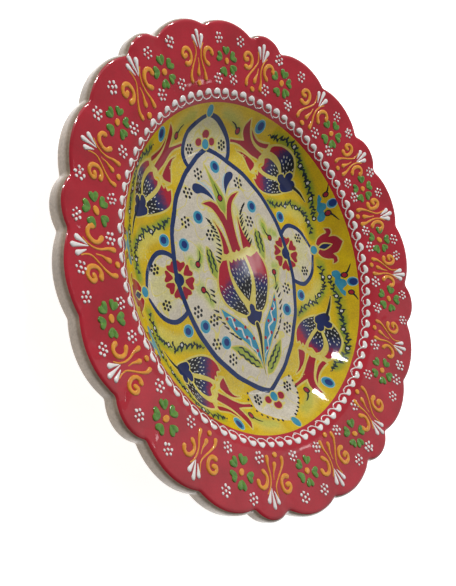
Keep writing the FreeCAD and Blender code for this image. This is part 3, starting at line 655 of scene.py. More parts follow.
def paintCorner(flip):   # one quarter of the yellow field
    wash("greenWash", [(46, 38), (53, 36), (60, 34), (67, 34), (73, 30), (78, 26), (80, 17), (80, 10)], 4.2,
         0.9, flip)
    wash("greenWash", [(56, 79), (63, 75.5), (69, 70.5), (73.5, 63), (76, 57), (79, 51), (82, 43), (84, 34),
                       (84, 24)], 3.6, 0.9, flip)
    wash("paleWash", [(56, 32), (66, 30), (73, 24)], 5, 0.8, flip)
    wash("paleWash", [(22, 68), (28, 70), (30, 62)], 5, 0.35, flip)
    wash("greenWash", [(13, 96), (20, 93.5), (26, 89), (31, 83)], 2.6, 0.95, flip)
    wash("paleWash", [(12, 97), (22, 94), (30, 88), (34, 81)], 4.5, 0.6, flip)
    garland([(43.5, 39.5), (49, 37), (55, 35), (60.5, 34.5), (65.5, 34.8), (70.5, 31), (76.5, 27.5), (79, 20),
             (80, 11.5)], 2.3, flip, beads=((60.5, 33.8), (71, 31.2), (79, 20)))
    garland([(51, 80.6), (57, 77.8), (64, 75), (69.6, 71), (73.6, 64.5), (76, 57.5), (78.8, 52.5), (81, 45.8),
              (83, 35.5), (83.6, 28), (83.6, 21)], 2.0, flip,
             beads=((70.4, 70.2), (75.8, 57.6), (81.2, 45.6), (83, 35), (83.8, 21.2)))
    brush("paleYellow", [(71.5, 45.3), (75.5, 40.5), (79, 34)], [3.4, 2.6, 1.4], flip)
    outer = [(55.3, 73.2, 1), (61, 72), (66.7, 68.7), (70.2, 64.4), (71.6, 58), (71, 52, 1), (66.8, 53.2),
             (63.8, 55), (63.1, 58.5), (62.4, 62.3), (59.8, 66.6), (56.3, 69.4), (54.2, 70.3, 1)]
    upper = [(45.8, 62, 1), (48.7, 63.2), (50, 66.8, 1), (53.5, 66.6), (57.2, 64.2), (60, 60.8), (61.2, 57.2),
             (61.2, 53.8, 1), (57.5, 53.2), (53.5, 54.8), (49.7, 57.2), (47, 59.8)]
    lower = [(36.3, 55.5, 1), (38, 50), (41.8, 46), (47.5, 43.9), (55, 43.2), (61.6, 43.4, 1), (60.2, 50.5),
             (56.8, 51.4), (51.7, 53.4), (47, 56.4), (42.9, 59.8, 1), (41.6, 57.2), (40, 58.6, 1),
             (39.2, 55.2)]
    for petal, tip, base, count in ((outer, (58, 75), (68, 56), 16), (upper, (46.5, 66), (60, 56), 18),
                                    (lower, (38, 54), (57, 47), 24)):
        ring, start, stop = fadingPetal(petal, tip, base, flip, halo=1.2)
        depth = (ring - start) @ (stop - start) / ((stop - start) @ (stop - start))
        dashes("white", ring[depth > 0.42], count, (68, 48), (1.7, 0.7), flip)
    brush("paleYellow", [(49.5, 70.3), (56, 67.6), (60.7, 62.2), (62.3, 54.5)], [1.8, 1.8, 1.5], flip)
    brush("paleYellow", [(42, 62), (47, 58.6), (52.3, 55.4), (59.3, 52.4)], [1.8, 1.8, 1.5], flip)
    long = [(46, 65.6, 1), (49, 69, 1), (44.3, 72.8), (40, 77.4), (37.2, 82), (35.7, 86.3), (35.2, 91.6, 1),
            (31.7, 88.6), (31.2, 84.4), (33, 79.8, 1), (28, 80.4), (21, 81.8, 1), (20.6, 80.1, 1), (28, 78.4),
            (34, 74.8), (39, 70.3)]
    inner = [(25.6, 74.7, 1), (31.8, 73), (37, 69), (41.5, 63.6, 1), (39.4, 61.8), (38.4, 59.8, 1),
             (35, 60.2, 1), (33.8, 64.6), (32.6, 69.4), (30, 72.6)]
    thin = [(37.2, 85.6, 1), (40, 80), (45.6, 75), (51.8, 72.4, 1), (52.8, 75, 1), (47.4, 77), (42.4, 79.8)]
    for petal in (long, inner, thin):
        area("red", petal, flip, halo=1.1)
    collar = [(34, 59.6, 1), (38, 58.2), (40.3, 60.6), (43.3, 60.4, 1), (44.4, 63.8), (48, 64.4, 1),
              (48.6, 67.6), (52, 68.2, 1), (53, 71.2), (56.4, 73, 1), (54.2, 74.6), (51.2, 72.6),
              (49, 71.8, 1), (47.3, 69.5), (45, 68.4, 1), (43.4, 65.6), (40.6, 64.9, 1), (39.4, 62.4)]
    area("paleYellow", collar, flip)
    area("navy", [(61.5, 43.6), (66.5, 43.2), (70.8, 43.7), (72.5, 46.4), (71.6, 49.1), (70, 50, 1),
                  (71.3, 52.5), (69.6, 54.6), (67, 54.2), (65.6, 52, 1), (64, 54.6), (61, 54.6),
                  (59.4, 52.2), (60, 50), (60.9, 48.8, 1), (59.5, 47.2), (60, 44.8)], flip, halo=0.8)
    brush("black", [(71.2, 45.4), (75.2, 40.5), (78.8, 34)], [2.0, 1.6, 0.5], flip)
    dropAndTail(26.6, 86, [(21, 91.8), (24.2, 89.8)], flip, 1.7)
    ringedDot(43.6, 86.2, 3.6, 2.3, flip)
    ringedDot(52.5, 27.4, 3.6, 2.2, flip)
    area("turquoise", [(88, 36.4), (89.6, 33.4), (88.8, 31.2), (91.7, 29.2), (91.7, 26), (89.9, 24.4),
                       (90.8, 21.8), (89.6, 18.4), (86.8, 18), (85.8, 20.6), (87, 23.4), (86, 26.4),
                       (86.6, 30.4), (86.8, 33.6)], flip)
    dropAndTail(92, 35.2, [(93.8, 41.5), (93.3, 38)], flip, 1.5)
    dropAndTail(92.6, 22.6, [(98.4, 16.6), (95.4, 20.4)], flip, 1.7)
    ringedDot(95.4, 28.4, 3.0, 2.4, flip)


def paintField():   # pale specks in the yellow, and the red buds beside the side lobes
    for x, y, reach, count in ((27, 68, 7, 34), (-30, 70, 7, 30), (71, 23, 6, 26), (-73, 24, 6, 22),
                               (70, -24, 6, 26), (-72, -26, 6, 22), (28, -70, 7, 30), (-30, -70, 7, 30),
                               (45, 41, 5, 14)):
        for k in range(count):
            a, r = hand.uniform(0, 2 * math.pi), reach * math.sqrt(hand.uniform(0, 1))
            size = hand.uniform(0.3, 0.5)
            spot("paleYellow", x + r * math.cos(a), y + 1.2 * r * math.sin(a), size, steps=6)
    bud = [(80.8, 4.2, 1), (83.2, 7.4), (87, 9.4), (90, 10.2), (89, 13.4, 1), (91.8, 12.4), (92.4, 9.4),
           (91, 6.8, 1), (94.6, 5.8), (97.8, 1, 1)]
    lowerHalf = [(x, 1.6 - y) + tuple(sharp) for x, y, *sharp in bud[-2::-1]]
    for flip in bothSides:
        area("red", bud + lowerHalf + [(82, -1, 1), (84, 0.6), (82, 2.4, 1)], flip, halo=0.8)
        area("navy", [(82.2, 1, 1), (86.5, 2.7), (91.6, 0.8, 1), (86.5, -1.1)], flip, halo=0.9)


def paintWell():
    for flip in everySide:
        paintCorner(flip)
    paintField()
    paintFrames()
    paintCentralTulip()
    paintLeaves()
    for x, y in ((48.3, 3), (-52, 3.4)):
        roundFlower(x, y)
    line = pointedOval(0)
    for sign in (1, -1):
        part = line[(np.sign(line[:, 0]) == sign) & (np.abs(line[:, 1]) < 16)]
        brush("cobalt", [tuple(p) for p in part[::3]], medallion["line"], steps=3)


def strength(points, kind):   # how much of a wash lies at each point
    total = np.zeros(len(points))
    for path, width, amount in washes[kind]:
        near = np.full(len(points), 1e9)
        for a, b in zip(path[:-1], path[1:]):
            t = np.clip(((points - a) @ (b - a)) / max((b - a) @ (b - a), 1e-9), 0, 1)
            near = np.minimum(near, np.linalg.norm(points - a - t[:, None] * (b - a), axis=1))
        total = np.maximum(total, amount * (1 - smooth(near, width * 0.35, width * 1.25)))
    return total


def paintedWell(name, materials):
    names = list(pigments)
    radius = plate["paintedRadius"]
    corners, edges = [], []

    def closedLoop(loop):
        start = len(corners)
        corners.extend(tuple(p) for p in loop)
        edges.extend((start + i, start + (i + 1) % len(loop)) for i in range(len(loop)))

    for _, outline in paint:
        closedLoop(outline)
    a = np.linspace(0, 2 * math.pi, 361)[:-1]
    step = 2.2      # fine enough for the curve of the wall and for washes that fade softly
    for ring in [radius] + list(np.arange(floorEnd, radius - 1, step)):
        way = a if ring == radius else a[::3]
        closedLoop(ring * np.stack([np.sin(way), np.cos(way)], -1))
    grid = [(x + 0.5 * step * (j % 2), y) for j, y in enumerate(np.arange(-radius, radius, step * 0.87))
            for x in np.arange(-radius, radius, step)]
    corners.extend(p for p in grid if math.hypot(*p) < radius - 1)
    made = delaunay_2d_cdt([Vector(p) for p in corners], edges, [], 0, 1e-4, False)
    flat = np.array([tuple(v) for v in made[0]])
    triangles = np.array(made[2])
    centres = flat[triangles].mean(axis=1)
    keep = np.linalg.norm(centres, axis=1) < radius * math.cos(math.pi / 360) - 0.002
    triangles, centres = triangles[keep], centres[keep]
    coat = np.full(len(triangles), names.index("yellow"))
    for pigment, outline in paint:
        low, high = outline.min(0), outline.max(0)
        near = np.flatnonzero(((centres >= low) & (centres <= high)).all(axis=1))
        if len(near):
            coat[near[inside(outline, centres[near])]] = names.index(pigment)
    used, where = np.unique(triangles, return_inverse=True)
    flat, triangles = flat[used], where.reshape(-1, 3)
    height, slope = surface(np.linalg.norm(flat, axis=1))
    top = np.column_stack([flat, height])
    out = flat / np.maximum(np.linalg.norm(flat, axis=1), 1e-6)[:, None]
    normals = np.column_stack([-out * np.sin(slope)[:, None], np.cos(slope)])
    seen = dict.fromkeys(pair for i, j, k in triangles for pair in ((i, j), (j, k), (k, i)))
    follow = {i: j for i, j in seen if (j, i) not in seen}   # the border of the painted disc, in order
    loop = [next(iter(follow))]
    while follow[loop[-1]] != loop[0]:
        loop.append(follow[loop[-1]])
    below = []
    scales = (1.0, 0.93, 0.86, 0.79, 0.72, 0.4)     # rings of the underside, as parts of the border
    for scale in scales:
        ring = flat[loop] * scale
        under = surface(np.linalg.norm(ring, axis=1))[0] - plate["skin"]
        below.append(np.column_stack([ring, under]))
    points = np.vstack([top] + below + [[[0, 0, plate["floorHeight"] - plate["skin"]]]])
    faces = [tuple(int(v) for v in t) for t in triangles]
    count, first = len(loop), len(top)
    last = first + (len(scales) - 1) * count
    for i in range(count):
        k = (i + 1) % count
        faces.append((loop[k], loop[i], first + i, first + k))
        for a in range(first, last, count):
            faces.append((a + k, a + i, a + count + i, a + count + k))
        faces.append((last + k, last + i, len(points) - 1))
    extra = len(faces) - len(triangles)
    allNormals = np.vstack([normals] + [-normals[loop]] * len(scales) + [[[0, 0, -1]]])
    piece = makePiece(name, points, faces, materials, "well_glaze", allNormals,
                      list(coat) + [names.index("cream")] * extra)
    for kind in washes:
        values = np.r_[strength(flat, kind), np.zeros(len(points) - len(flat))]
        piece.data.attributes.new(kind, "FLOAT", "POINT").data.foreach_set("value", values)
    ink = np.zeros(len(points))
    for outline, tip, base in petals:
        near = ((flat >= outline.min(0) - 0.5) & (flat <= outline.max(0) + 0.5)).all(axis=1)
        index = np.flatnonzero(near)
        mine = index[inside(outline + (outline - outline.mean(0)) * 0.04, flat[index])]
        ink[mine] = (flat[mine] - tip) @ (base - tip) / ((base - tip) @ (base - tip))
    piece.data.attributes.new("ink", "FLOAT", "POINT").data.foreach_set("value", ink)
    print("painted well:", len(triangles), "triangles,", len(paint), "strokes")


# Glaze layers: closed shells swept round the plate.
edgePoints, edgeNormals = lobedOutline()
edgeBearings = np.degrees(np.arctan2(edgePoints[:, 0], edgePoints[:, 1]))
edgeCount = len(edgePoints)
glazeRings = {   # radii, in millimetres, where the shells follow the clay, from the well out and under
    "bend": [plate["paintedRadius"], 103.6], "rim": (105.5, 140, 2.5), "nearLip": (7.2, 6.1),
    "underRim": (137, 132, 126, 120), "shoulder": (117, 105), "foot": (94, 77),
    "footFillet": [(75.2, 3.9), (74.4, 3.5), (plate["footRadius"], 2.9)],
}


def circleRing(radius, height):
    a = np.radians(edgeBearings)
    return np.column_stack([radius * np.sin(a), radius * np.cos(a), np.full(edgeCount, height)])


def offsetRing(inward, height):
    return np.column_stack([edgePoints - edgeNormals * inward, np.full(edgeCount, height)])


def topAt(ring):
    radius = np.linalg.norm(ring[:, :2], axis=1)
    return surface(radius)[0] + fluting(edgeBearings, radius)


def roundedCorner(bendRadius, level, angle, depth):   # ring on a rounded edge, depth under its surface
    a, reach = math.radians(angle), bendRadius - depth
    return offsetRing(bendRadius - reach * math.cos(a), level + reach * math.sin(a))


def lipRing(angle, depth):   # on the upper corner of the edge
    level = topAt(offsetRing(0, 0)) - plate["lipBend"] * ((1 + math.sin(rimSlope)) * math.tan(rimSlope)
                                                          + math.cos(rimSlope))
    return roundedCorner(plate["lipBend"], level, angle, depth)


def underRing(angle, depth):   # on the lower corner
    radius, level = plate["underShoulder"]
    slope = math.atan2(plate["edgeBottom"] - level, plate["rimRadius"] - radius)
    outward = np.linalg.norm(edgePoints, axis=1)
    corner = plate["edgeBottom"] - (plate["rimRadius"] - outward) * math.tan(slope)
    centre = corner + plate["underBend"] * ((math.sin(slope) - 1) * math.tan(slope) + math.cos(slope))
    return roundedCorner(plate["underBend"], centre, angle, depth)


def shell(name, outer, inner, material, replaced):
    rings = outer + inner[::-1]
    return makePiece(name, np.vstack(rings), ringFaces(edgeCount, len(rings)), material, replaced)


def rimGlaze():
    rings = [circleRing(radius, 0) for radius in glazeRings["bend"] + list(np.arange(*glazeRings["rim"]))]
    rings += [offsetRing(inward, 0) for inward in glazeRings["nearLip"]]
    for ring in rings:
        ring[:, 2] = topAt(ring)
    outer = list(rings)
    inner = [ring - (0, 0, plate["skin"]) for ring in rings]
    for angle in np.linspace(90 + math.degrees(rimSlope), plate["glazeBoundary"], 8):
        outer.append(lipRing(angle, 0))
        inner.append(lipRing(angle, plate["skin"]))
    return shell("redRim", outer, inner, ceramicMaterial("glossy red glaze", redGlaze), "rim_glaze")


def softCorner(before, corner, after):   # points of a curve that cuts a corner
    t = np.linspace(0, 1, 9)[:, None]
    curve = (1 - t) ** 2 * np.array(before) + 2 * t * (1 - t) * np.array(corner) + t * t * np.array(after)
    return [tuple(p) for p in curve]


def backGlaze(material):
    outer, inner = [], []
    for ringAt, angles in ((lipRing, np.linspace(plate["glazeBoundary"], 0, 9)),
                           (underRing, np.linspace(0, -82, 9))):
        for angle in angles:
            outer.append(ringAt(angle, 0))
            inner.append(ringAt(angle, plate["skin"]))
    shoulder, floor = plate["underShoulder"], plate["underFloor"]
    underSlope = math.atan2(plate["edgeBottom"] - shoulder[1], plate["rimRadius"] - shoulder[0])
    wallUnder = math.atan2(shoulder[1] - floor[1], shoulder[0] - floor[0])

    def onSlope(radius, corner, slope):
        return (radius, corner[1] + (radius - corner[0]) * math.tan(slope))

    section = [onSlope(radius, shoulder, underSlope) for radius in glazeRings["underRim"]]
    start, stop = glazeRings["shoulder"]
    section += softCorner(onSlope(start, shoulder, underSlope), shoulder, onSlope(stop, shoulder, wallUnder))
    start, stop = glazeRings["foot"]
    section += softCorner(onSlope(start, floor, wallUnder), floor, (stop, floor[1]))
    section += glazeRings["footFillet"] + [(plate["footRadius"], plate["bareFoot"])]
    section = np.array(section)
    along = np.gradient(section, axis=0)
    along /= np.linalg.norm(along, axis=1)[:, None]
    for (radius, level), (dr, dz) in zip(section, along):
        outer.append(circleRing(radius, level))
        inner.append(circleRing(radius + plate["skin"] * dz, level - plate["skin"] * dr))
    return shell("edgeAndBack", outer, inner, material, "back_glaze")


# Raised enamel: every motif is drawn in its own small frame, x clockwise round the rim and y outward.
class Enamel:
    def __init__(self, bearing, radius, turn=0.0, grow=1.0):
        self.bearing = bearing
        self.radius = radius
        self.turn = math.radians(turn)
        self.grow = grow

    def lay(self, flat, rise):   # points of the plate from points in the motif's frame
        c, s = math.cos(self.turn), math.sin(self.turn)
        flat = np.asarray(flat) * self.grow
        x, y = flat[:, 0] * c + flat[:, 1] * s, flat[:, 1] * c - flat[:, 0] * s
        return onRim(self.bearing + np.degrees(x / (self.radius + y)), self.radius + y, rise)


sunk = 0.14       # enamel is bedded a little into the glaze


def trail(batch, place, points, widths, rise, steps=4):   # rounded trail of enamel along a path
    path = bend(points, False, steps)
    half = spread(widths, path)
    side = sideways(path)
    rings, halves, sides = list(path), list(half), list(side)
    for index, sign in ((-1, 1), (0, -1)):
        along = sign * np.array([side[index][1], -side[index][0]])
        for t in (0.5, 0.85, 1.0):
            ring = path[index] + along * half[index] * math.sin(t * math.pi / 2)
            add = 0 if index == 0 else len(rings)
            rings.insert(add, ring)
            halves.insert(add, half[index] * max(math.cos(t * math.pi / 2), 0.08))
            sides.insert(add, side[index])
    across = np.linspace(0, math.pi, 8)
    full = max(halves)
    points3, first = [], len(batch[0])
    for centre, width, normal in zip(rings, halves, sides):
        flat = centre + np.outer(np.cos(across) * width, normal)
        tall = rise * min(1.0, width / full * 1.15 + 0.12) * min(1.0, width / 0.55)
        points3.append(place.lay(flat, np.sin(across) ** 0.8 * (tall + sunk) - sunk))
    batch[0].extend(np.vstack(points3))
    n = len(across)
    for j in range(len(rings) - 1):
        a, b = first + j * n, first + (j + 1) * n
        for i in range(n):
            k = (i + 1) % n
            batch[1].append((a + i, a + k, b + k, b + i))
    batch[1].append(tuple(first + i for i in range(n))[::-1])
    batch[1].append(tuple(first + (len(rings) - 1) * n + i for i in range(n)))


def blob(batch, place, outline, rise, groove=None):   # domed drop of enamel inside an outline
    outline = np.asarray(outline, float)
    middleOfBlob = outline.mean(0)
    first, n = len(batch[0]), len(outline)
    levels = ((1.0, -1.0), (0.985, 0.25), (0.93, 0.62), (0.8, 0.88), (0.55, 1.0), (0.25, 1.0))
    for scale, level in levels:
        flat = middleOfBlob + (outline - middleOfBlob) * scale
        height = np.full(n, level * rise if level > 0 else -sunk)
        if groove is not None and level > 0:      # a crease pressed along the petal
            start, way = groove
            across = (flat - start) @ np.array([-way[1], way[0]])
            height = height * (1 - 0.6 * np.exp(-(across / 0.65) ** 2))
        batch[0].extend(place.lay(flat, height))
    top = middleOfBlob[None]
    height = rise * (0.4 if groove is not None else 1.0)
    batch[0].extend(place.lay(top, np.array([height])))
    batch[0].extend(place.lay(top, np.array([-sunk])))
    x, y = outline.T
    signed = np.sum(x * np.roll(y, -1) - np.roll(x, -1) * y)
    order = 1 if signed < 0 else -1     # outlines drawn anticlockwise are turned over
    last = first + (len(levels) - 1) * n
    tip, base = first + len(levels) * n, first + len(levels) * n + 1
    for i in range(n):
        k = (i + 1) % n
        for j in range(len(levels) - 1):
            a, b = first + j * n, first + (j + 1) * n
            batch[1].append((a + i, b + i, b + k, a + k)[::order])
        batch[1].append((last + i, tip, last + k)[::order])
        batch[1].append((first + k, base, first + i)[::order])


def disc(x, y, rx, ry=None, turn=0.0, steps=12):
    a = np.linspace(0, 2 * math.pi, steps, endpoint=False)
    flat = np.stack([rx * np.cos(a), (ry or rx) * np.sin(a)], -1)
    c, s = math.cos(turn), math.sin(turn)
    return flat @ np.array([[c, s], [-s, c]]) + (x, y)


def jitter(bearing, radius, turn):   # hand-laid, so never quite the same place or size twice
    return Enamel(bearing + math.degrees(hand.uniform(-0.35, 0.35) / radius),
                  radius + hand.uniform(-0.4, 0.4), hand.uniform(-turn, turn), hand.uniform(0.94, 1.07))


def enamelPiece(name, batch, look, replaced):
    points, faces = batch
    print(name, len(faces), "faces, top", round(float(np.array(points)[:, 2].max()), 2))
    makePiece(name, points, faces, ceramicMaterial("trailed enamel " + name, look), replaced)


flowers = {"bearings": [6, 29, 53.8, 74.8, 92, 111.5, 135.8, 161.5, 186.3, 211.8, 239.5, 266.5, 291.8, 316.3,
                        340.2],
           "radius": 126.3, "petalTurns": (2, 67, 132, 200, 286), "petalOut": 6.3, "petalRise": 0.68,
           "centre": (2.4, 2.0), "centreRise": 0.6}
ornaments = {"bearings": [18.2, 43, 64.8, 83.5, 101.5, 123.8, 150.5, 173.5, 198.8, 225.2, 254.5, 280.8, 304.3,
                          328.5, 354],
             "radius": 128.0, "rise": 0.66, "dropRise": 0.9, "dot": (-1.8, 113.4, 1.85, 1.75),
             "narrow": {64.8: 0.88, 83.5: 0.76, 101.5: 0.8}}   # some are squeezed between their neighbours
whiteRings = {"outer": [3.5, 11.5, 26.5, 35.5, 52.2, 58.5, 71.8, 78.3, 92.7, 97.5, 109.5, 117, 131,
                        135.8, 141, 160, 166, 182.5, 190, 208, 217, 235.5, 246, 261.5, 272.5, 278.5,
                        289.3, 298.5, 313.5, 321.5, 337, 345.8], "outerRadius": 139.6,
              "inner": [2, 8.5, 22.8, 33.8, 48.5, 56.8, 70.3, 75.5, 88, 93.8, 106, 115.5, 129, 140.5,
                        154, 167, 178.8, 190, 204.5, 217, 231.8, 245.5, 260.5, 269.5, 286, 296.5, 311,
                        319.5, 336, 345.5],
              "innerRadius": 115.8, "ring": 2.85, "bead": 0.8, "rise": 0.45}
waveChain = {"count": 86, "start": 1.0, "radius": 107.0, "rise": 0.55}


def flowerEnamel():
    green, orange = ([], []), ([], [])
    half = [(0.5, -2.1), (2.0, -0.9), (3.1, 0.9), (2.9, 2.4), (1.6, 3.2), (0.45, 2.5)]
    heart = half + [(-x, y) for x, y in half[::-1]]
    for bearing in flowers["bearings"]:
        place = jitter(bearing, flowers["radius"], 5)
        for turn in flowers["petalTurns"]:
            a = math.radians(turn + hand.uniform(-5, 5))
            way = np.array([math.sin(a), math.cos(a)])
            side = np.array([way[1], -way[0]])
            size = hand.uniform(0.98, 1.12)
            curve = bend(heart, True, 2) * size
            out = flowers["petalOut"] + hand.uniform(-0.2, 0.3)
            outline = curve[:, :1] * 1.06 * side + (curve[:, 1:] + out) * way
            blob(green, place, outline, flowers["petalRise"] * hand.uniform(0.9, 1), (way * out, way))
        rx, ry = flowers["centre"]
        blob(orange, place, disc(0, 0, rx * hand.uniform(0.9, 1.1), ry * hand.uniform(0.9, 1.1),
                                 hand.uniform(0, 3), 14), flowers["centreRise"])
    enamelPiece("greenPetals", green, greenEnamel, "green_petals")
    enamelPiece("flowerCentres", orange, orangeEnamel, "orange_centres")


# Trails of one ornament: x runs clockwise and y is the radius, then come the half widths.
ornamentTrails = {
    "scrolls": [
        ([(-9.3, 125.9), (-7, 125.6), (-4.8, 127.3), (-4.1, 130.2), (-5, 133.2), (-7.4, 134.8), (-10, 134.2),
          (-11.3, 132), (-10.4, 130.2), (-8.6, 130.6)],
         [1.75, 1.45, 1.2, 1.3, 1.35, 1.35, 1.3, 1.3, 1.4, 1.6]),
        ([(9.9, 123.6), (7.9, 125.8), (7.9, 129), (9.9, 132), (12.8, 133), (15, 131.7), (15.3, 129.8)],
         [1.7, 1.25, 1.25, 1.35, 1.35, 1.35, 1.7])],
    "stems": [
        ([(0.5, 137.5), (1.2, 135), (1, 131), (-1.5, 127), (-5, 122.5), (-7.3, 118.5), (-7.4, 115.4)],
         [0.4, 0.5, 0.58, 0.62, 0.68, 0.95, 1.5]),
        ([(9, 136), (6.5, 133), (4.8, 128.5), (4.6, 124), (5.4, 119.5), (5.2, 115.2)],
         [0.4, 0.55, 0.6, 0.65, 0.85, 1.55]),
        ([(2, 127.6), (1.5, 124), (0.3, 121), (-0.4, 118.8)], [0.35, 0.5, 0.9, 1.6])],
    "drops": [
        ([(1.2, 140.2), (2.1, 137.6), (3.3, 134.2)], [1.5, 0.85, 0.3]),
        ([(5, 143.0), (5.1, 138), (5.3, 132.8)], [1.5, 0.75, 0.3]),
        ([(8.9, 140), (7.5, 136.8), (6, 133.4)], [1.6, 0.85, 0.3])],
}


def ornamentEnamel():
    batches = {kind: ([], []) for kind in ("scrolls", "stems", "dots", "drops")}
    rise, base = ornaments["rise"], ornaments["radius"]
    x, y, rx, ry = ornaments["dot"]
    for bearing in ornaments["bearings"]:
        narrow = ornaments["narrow"].get(bearing, 1)
        place = jitter(bearing, base, 3)
        for kind, trails in ornamentTrails.items():
            for points, widths in trails:
                flat = [(px * narrow, py - base) for px, py in points]
                height = rise * ornaments["dropRise"] if kind == "drops" else rise
                trail(batches[kind], place, flat, widths, height)
        blob(batches["dots"], place, disc(x, y - base, rx * hand.uniform(0.9, 1.1), ry), rise)
    enamelPiece("orangeScrolls", batches["scrolls"], orangeEnamel, "orange_scrolls")
    enamelPiece("orangeStems", batches["stems"], orangeEnamel, "orange_stems")
    enamelPiece("orangeDots", batches["dots"], orangeEnamel, "orange_dots")
    enamelPiece("whiteDrops", batches["drops"], whiteEnamel, "white_drops")


def whiteBeads():
    batch = ([], [])
    for kind in ("outer", "inner"):
        for bearing in whiteRings[kind]:
            place = jitter(bearing, whiteRings[kind + "Radius"], 30)
            for k in range(7):
                a = k * math.pi / 3 + hand.uniform(-0.12, 0.12)
                out = 0 if k == 6 else whiteRings["ring"] * hand.uniform(0.92, 1.08)
                size = whiteRings["bead"] * hand.uniform(0.82, 1.2)
                drop = disc(out * math.sin(a), out * math.cos(a), size * hand.uniform(0.95, 1.35), size,
                            hand.uniform(0, math.pi), 10)
                blob(batch, place, drop, whiteRings["rise"])
    enamelPiece("whiteBeads", batch, whiteEnamel, "white_dots")


def whiteWaves():
    batch = ([], [])
    rise = waveChain["rise"]
    pitch = 360 / waveChain["count"]
    for k in range(waveChain["count"]):
        place = Enamel(waveChain["start"] + k * pitch + hand.uniform(-0.12, 0.12),
                       waveChain["radius"] + hand.uniform(-0.25, 0.25),
                       hand.uniform(-4, 4), hand.uniform(0.92, 1.05))
        trail(batch, place, [(-1.4, 0.7), (-0.1, 1.2), (1.2, 1.1), (2.3, 0.1), (3.4, -1.2), (4.8, -2.3),
                             (6.3, -2.9), (7.6, -2.9)],
              [1.35, 1.8, 1.5, 0.65, 0.36, 0.33, 0.3, 0.22], rise, 3)
        trail(batch, place, [(2.6, 0.1), (2.7, -1.1), (1.8, -2.2), (0.3, -2.7), (-1.1, -2.5)],
              [0.3, 0.34, 0.32, 0.28, 0.2], rise * 0.8, 3)
    enamelPiece("whiteWaves", batch, whiteEnamel, "white_wave_chain")


# Build what replaces the plain glazes and trails.
paintWell()
paintedWell("paintedWell", [ceramicMaterial("underglaze " + name, {**underglaze, **look})
                            for name, look in pigments.items()])
beige = ceramicMaterial("glossy beige glaze", beigeGlaze)
rimGlaze()
backGlaze(beige)
flowerEnamel()
ornamentEnamel()
whiteBeads()
whiteWaves()
print("glazes and enamel laid")


# The body and the glaze inside the foot keep the shape they were built with and get a better surface.
bare = ceramicMaterial("bare earthenware", biscuit)
for node, material in (("plate_body", bare), ("foot_well_glaze", beige)):
    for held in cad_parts[node].material_slots:
        held.link = "OBJECT"
        held.material = material

# Where it is shown: a white floor in a bright room, with soft daylight from one side, a near
# white panel that glows in the lower rim, and small lamps that put the sparkle on the glaze.
# Directions are bearing (clockwise from the top) and elevation.
studio = {"floorColours": ("#ffffff", "#fbfbfb"), "floorGrain": 40, "floorRoughness": 0.9,
          "floorSize": 30.0, "floorGlow": 0.8,
          "dayFrom": (60, 30), "dayLight": 0.50, "roomLight": 0.10, "dayReach": (-0.2, 1.0),
          "lamps": [((8, 46), 0.22, 10.5), ((33, 32), 0.18, 6.5), ((89, 41.5), 0.06, 0.045)],
          "lampDistance": 1.6,
          "panel": {"place": (0.45, -0.37, 0.44), "aim": (-0.15, -0.37, 0), "size": (0.68, 0.6),
                    "power": 0.5}}
camera = {"lens": 53.33, "sensorHeight": 36, "nearest": 0.01, "place": (-0.39952, -0.00409, 0.37325),
          "turn": (14.765, -44.896, -21.603)}


def direction(bearing, elevation):
    a, e = math.radians(bearing), math.radians(elevation)
    return (math.cos(e) * math.sin(a), math.cos(e) * math.cos(a), math.sin(e))


def floorMaterial():
    material = bpy.data.materials.new("matt white backdrop")
    material.use_nodes = True
    tree = material.node_tree
    shader = tree.nodes["Principled BSDF"]
    place = addNode(tree, "ShaderNodeTexCoord").outputs["Object"]
    size = perMillimetre(studio["floorGrain"])
    grain = addNode(tree, "ShaderNodeTexNoise", {"Vector": place, "Scale": size})
    colour = blend(tree, grain.outputs["Fac"], *(linear(c) for c in studio["floorColours"]))
    tree.links.new(colour, shader.inputs["Base Color"])
    tree.links.new(colour, shader.inputs["Emission Color"])
    shader.inputs["Emission Strength"].default_value = studio["floorGlow"]
    shader.inputs["Roughness"].default_value = studio["floorRoughness"]
    return material


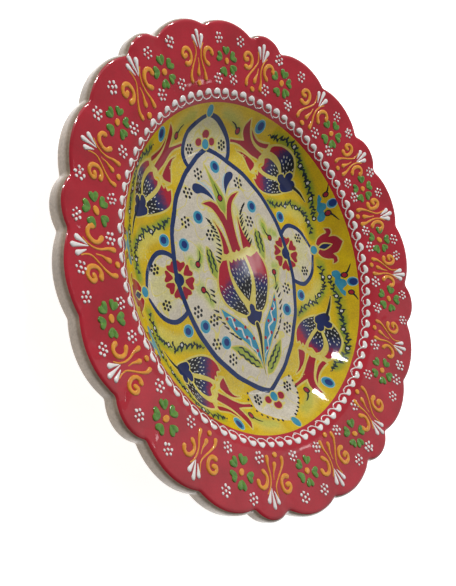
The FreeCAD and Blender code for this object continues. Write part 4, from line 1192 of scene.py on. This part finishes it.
def roomWorld():   # daylight that fades from its brightest side to the far side of the room
    world = bpy.data.worlds.new("bright room")
    world.use_nodes = True
    tree = world.node_tree
    way = addNode(tree, "ShaderNodeTexCoord").outputs["Generated"]
    facing = addNode(tree, "ShaderNodeVectorMath", {0: way, 1: direction(*studio["dayFrom"])},
                     operation="DOT_PRODUCT").outputs["Value"]
    low, high = studio["dayReach"]
    level = addNode(tree, "ShaderNodeMapRange", {"Value": facing, "From Min": low, "From Max": high,
                                                 "To Min": studio["roomLight"], "To Max": studio["dayLight"]})
    background = tree.nodes["Background"]
    background.inputs["Color"].default_value = linear("#ffffff")
    tree.links.new(level.outputs["Result"], background.inputs["Strength"])
    return world


def addLamp(name, place, size, power, aim=(0, 0, 0)):
    lamp = bpy.data.lights.new(name, "AREA")
    lamp.shape = "RECTANGLE"
    lamp.size, lamp.size_y = size
    lamp.energy = power
    holder = bpy.data.objects.new(name, lamp)
    holder.location = place
    holder.rotation_euler = (Vector(aim) - place).to_track_quat("-Z", "Y").to_euler()
    bpy.context.scene.collection.objects.link(holder)


def makeStage():
    size = studio["floorSize"] / 2
    mesh = bpy.data.meshes.new("floor")
    corners = [(-size, -size, 0), (size, -size, 0), (size, size, 0), (-size, size, 0)]
    mesh.from_pydata(corners, [], [(0, 1, 2, 3)])
    mesh.materials.append(floorMaterial())
    floor = bpy.data.objects.new("floor", mesh)
    bpy.context.scene.collection.objects.link(floor)
    bpy.context.scene.world = roomWorld()
    panel = studio["panel"]
    addLamp("panel", Vector(panel["place"]), panel["size"], panel["power"], panel["aim"])
    for number, (way, size, power) in enumerate(studio["lamps"]):
        place = Vector(direction(*way)) * studio["lampDistance"]
        addLamp("lamp%d" % number, place, (size, size * 0.7), power)


def makeCamera():
    eye = bpy.data.cameras.new("camera")
    eye.lens = camera["lens"]
    eye.sensor_fit = "VERTICAL"
    eye.sensor_height = camera["sensorHeight"]
    eye.clip_start = camera["nearest"]
    holder = bpy.data.objects.new("camera", eye)
    holder.location = camera["place"]
    holder.rotation_euler = [math.radians(a) for a in camera["turn"]]
    bpy.context.scene.collection.objects.link(holder)
    bpy.context.scene.camera = holder


makeStage()
makeCamera()
bpy.context.scene.view_settings.view_transform = "Standard"
print("stage, lights and camera set")
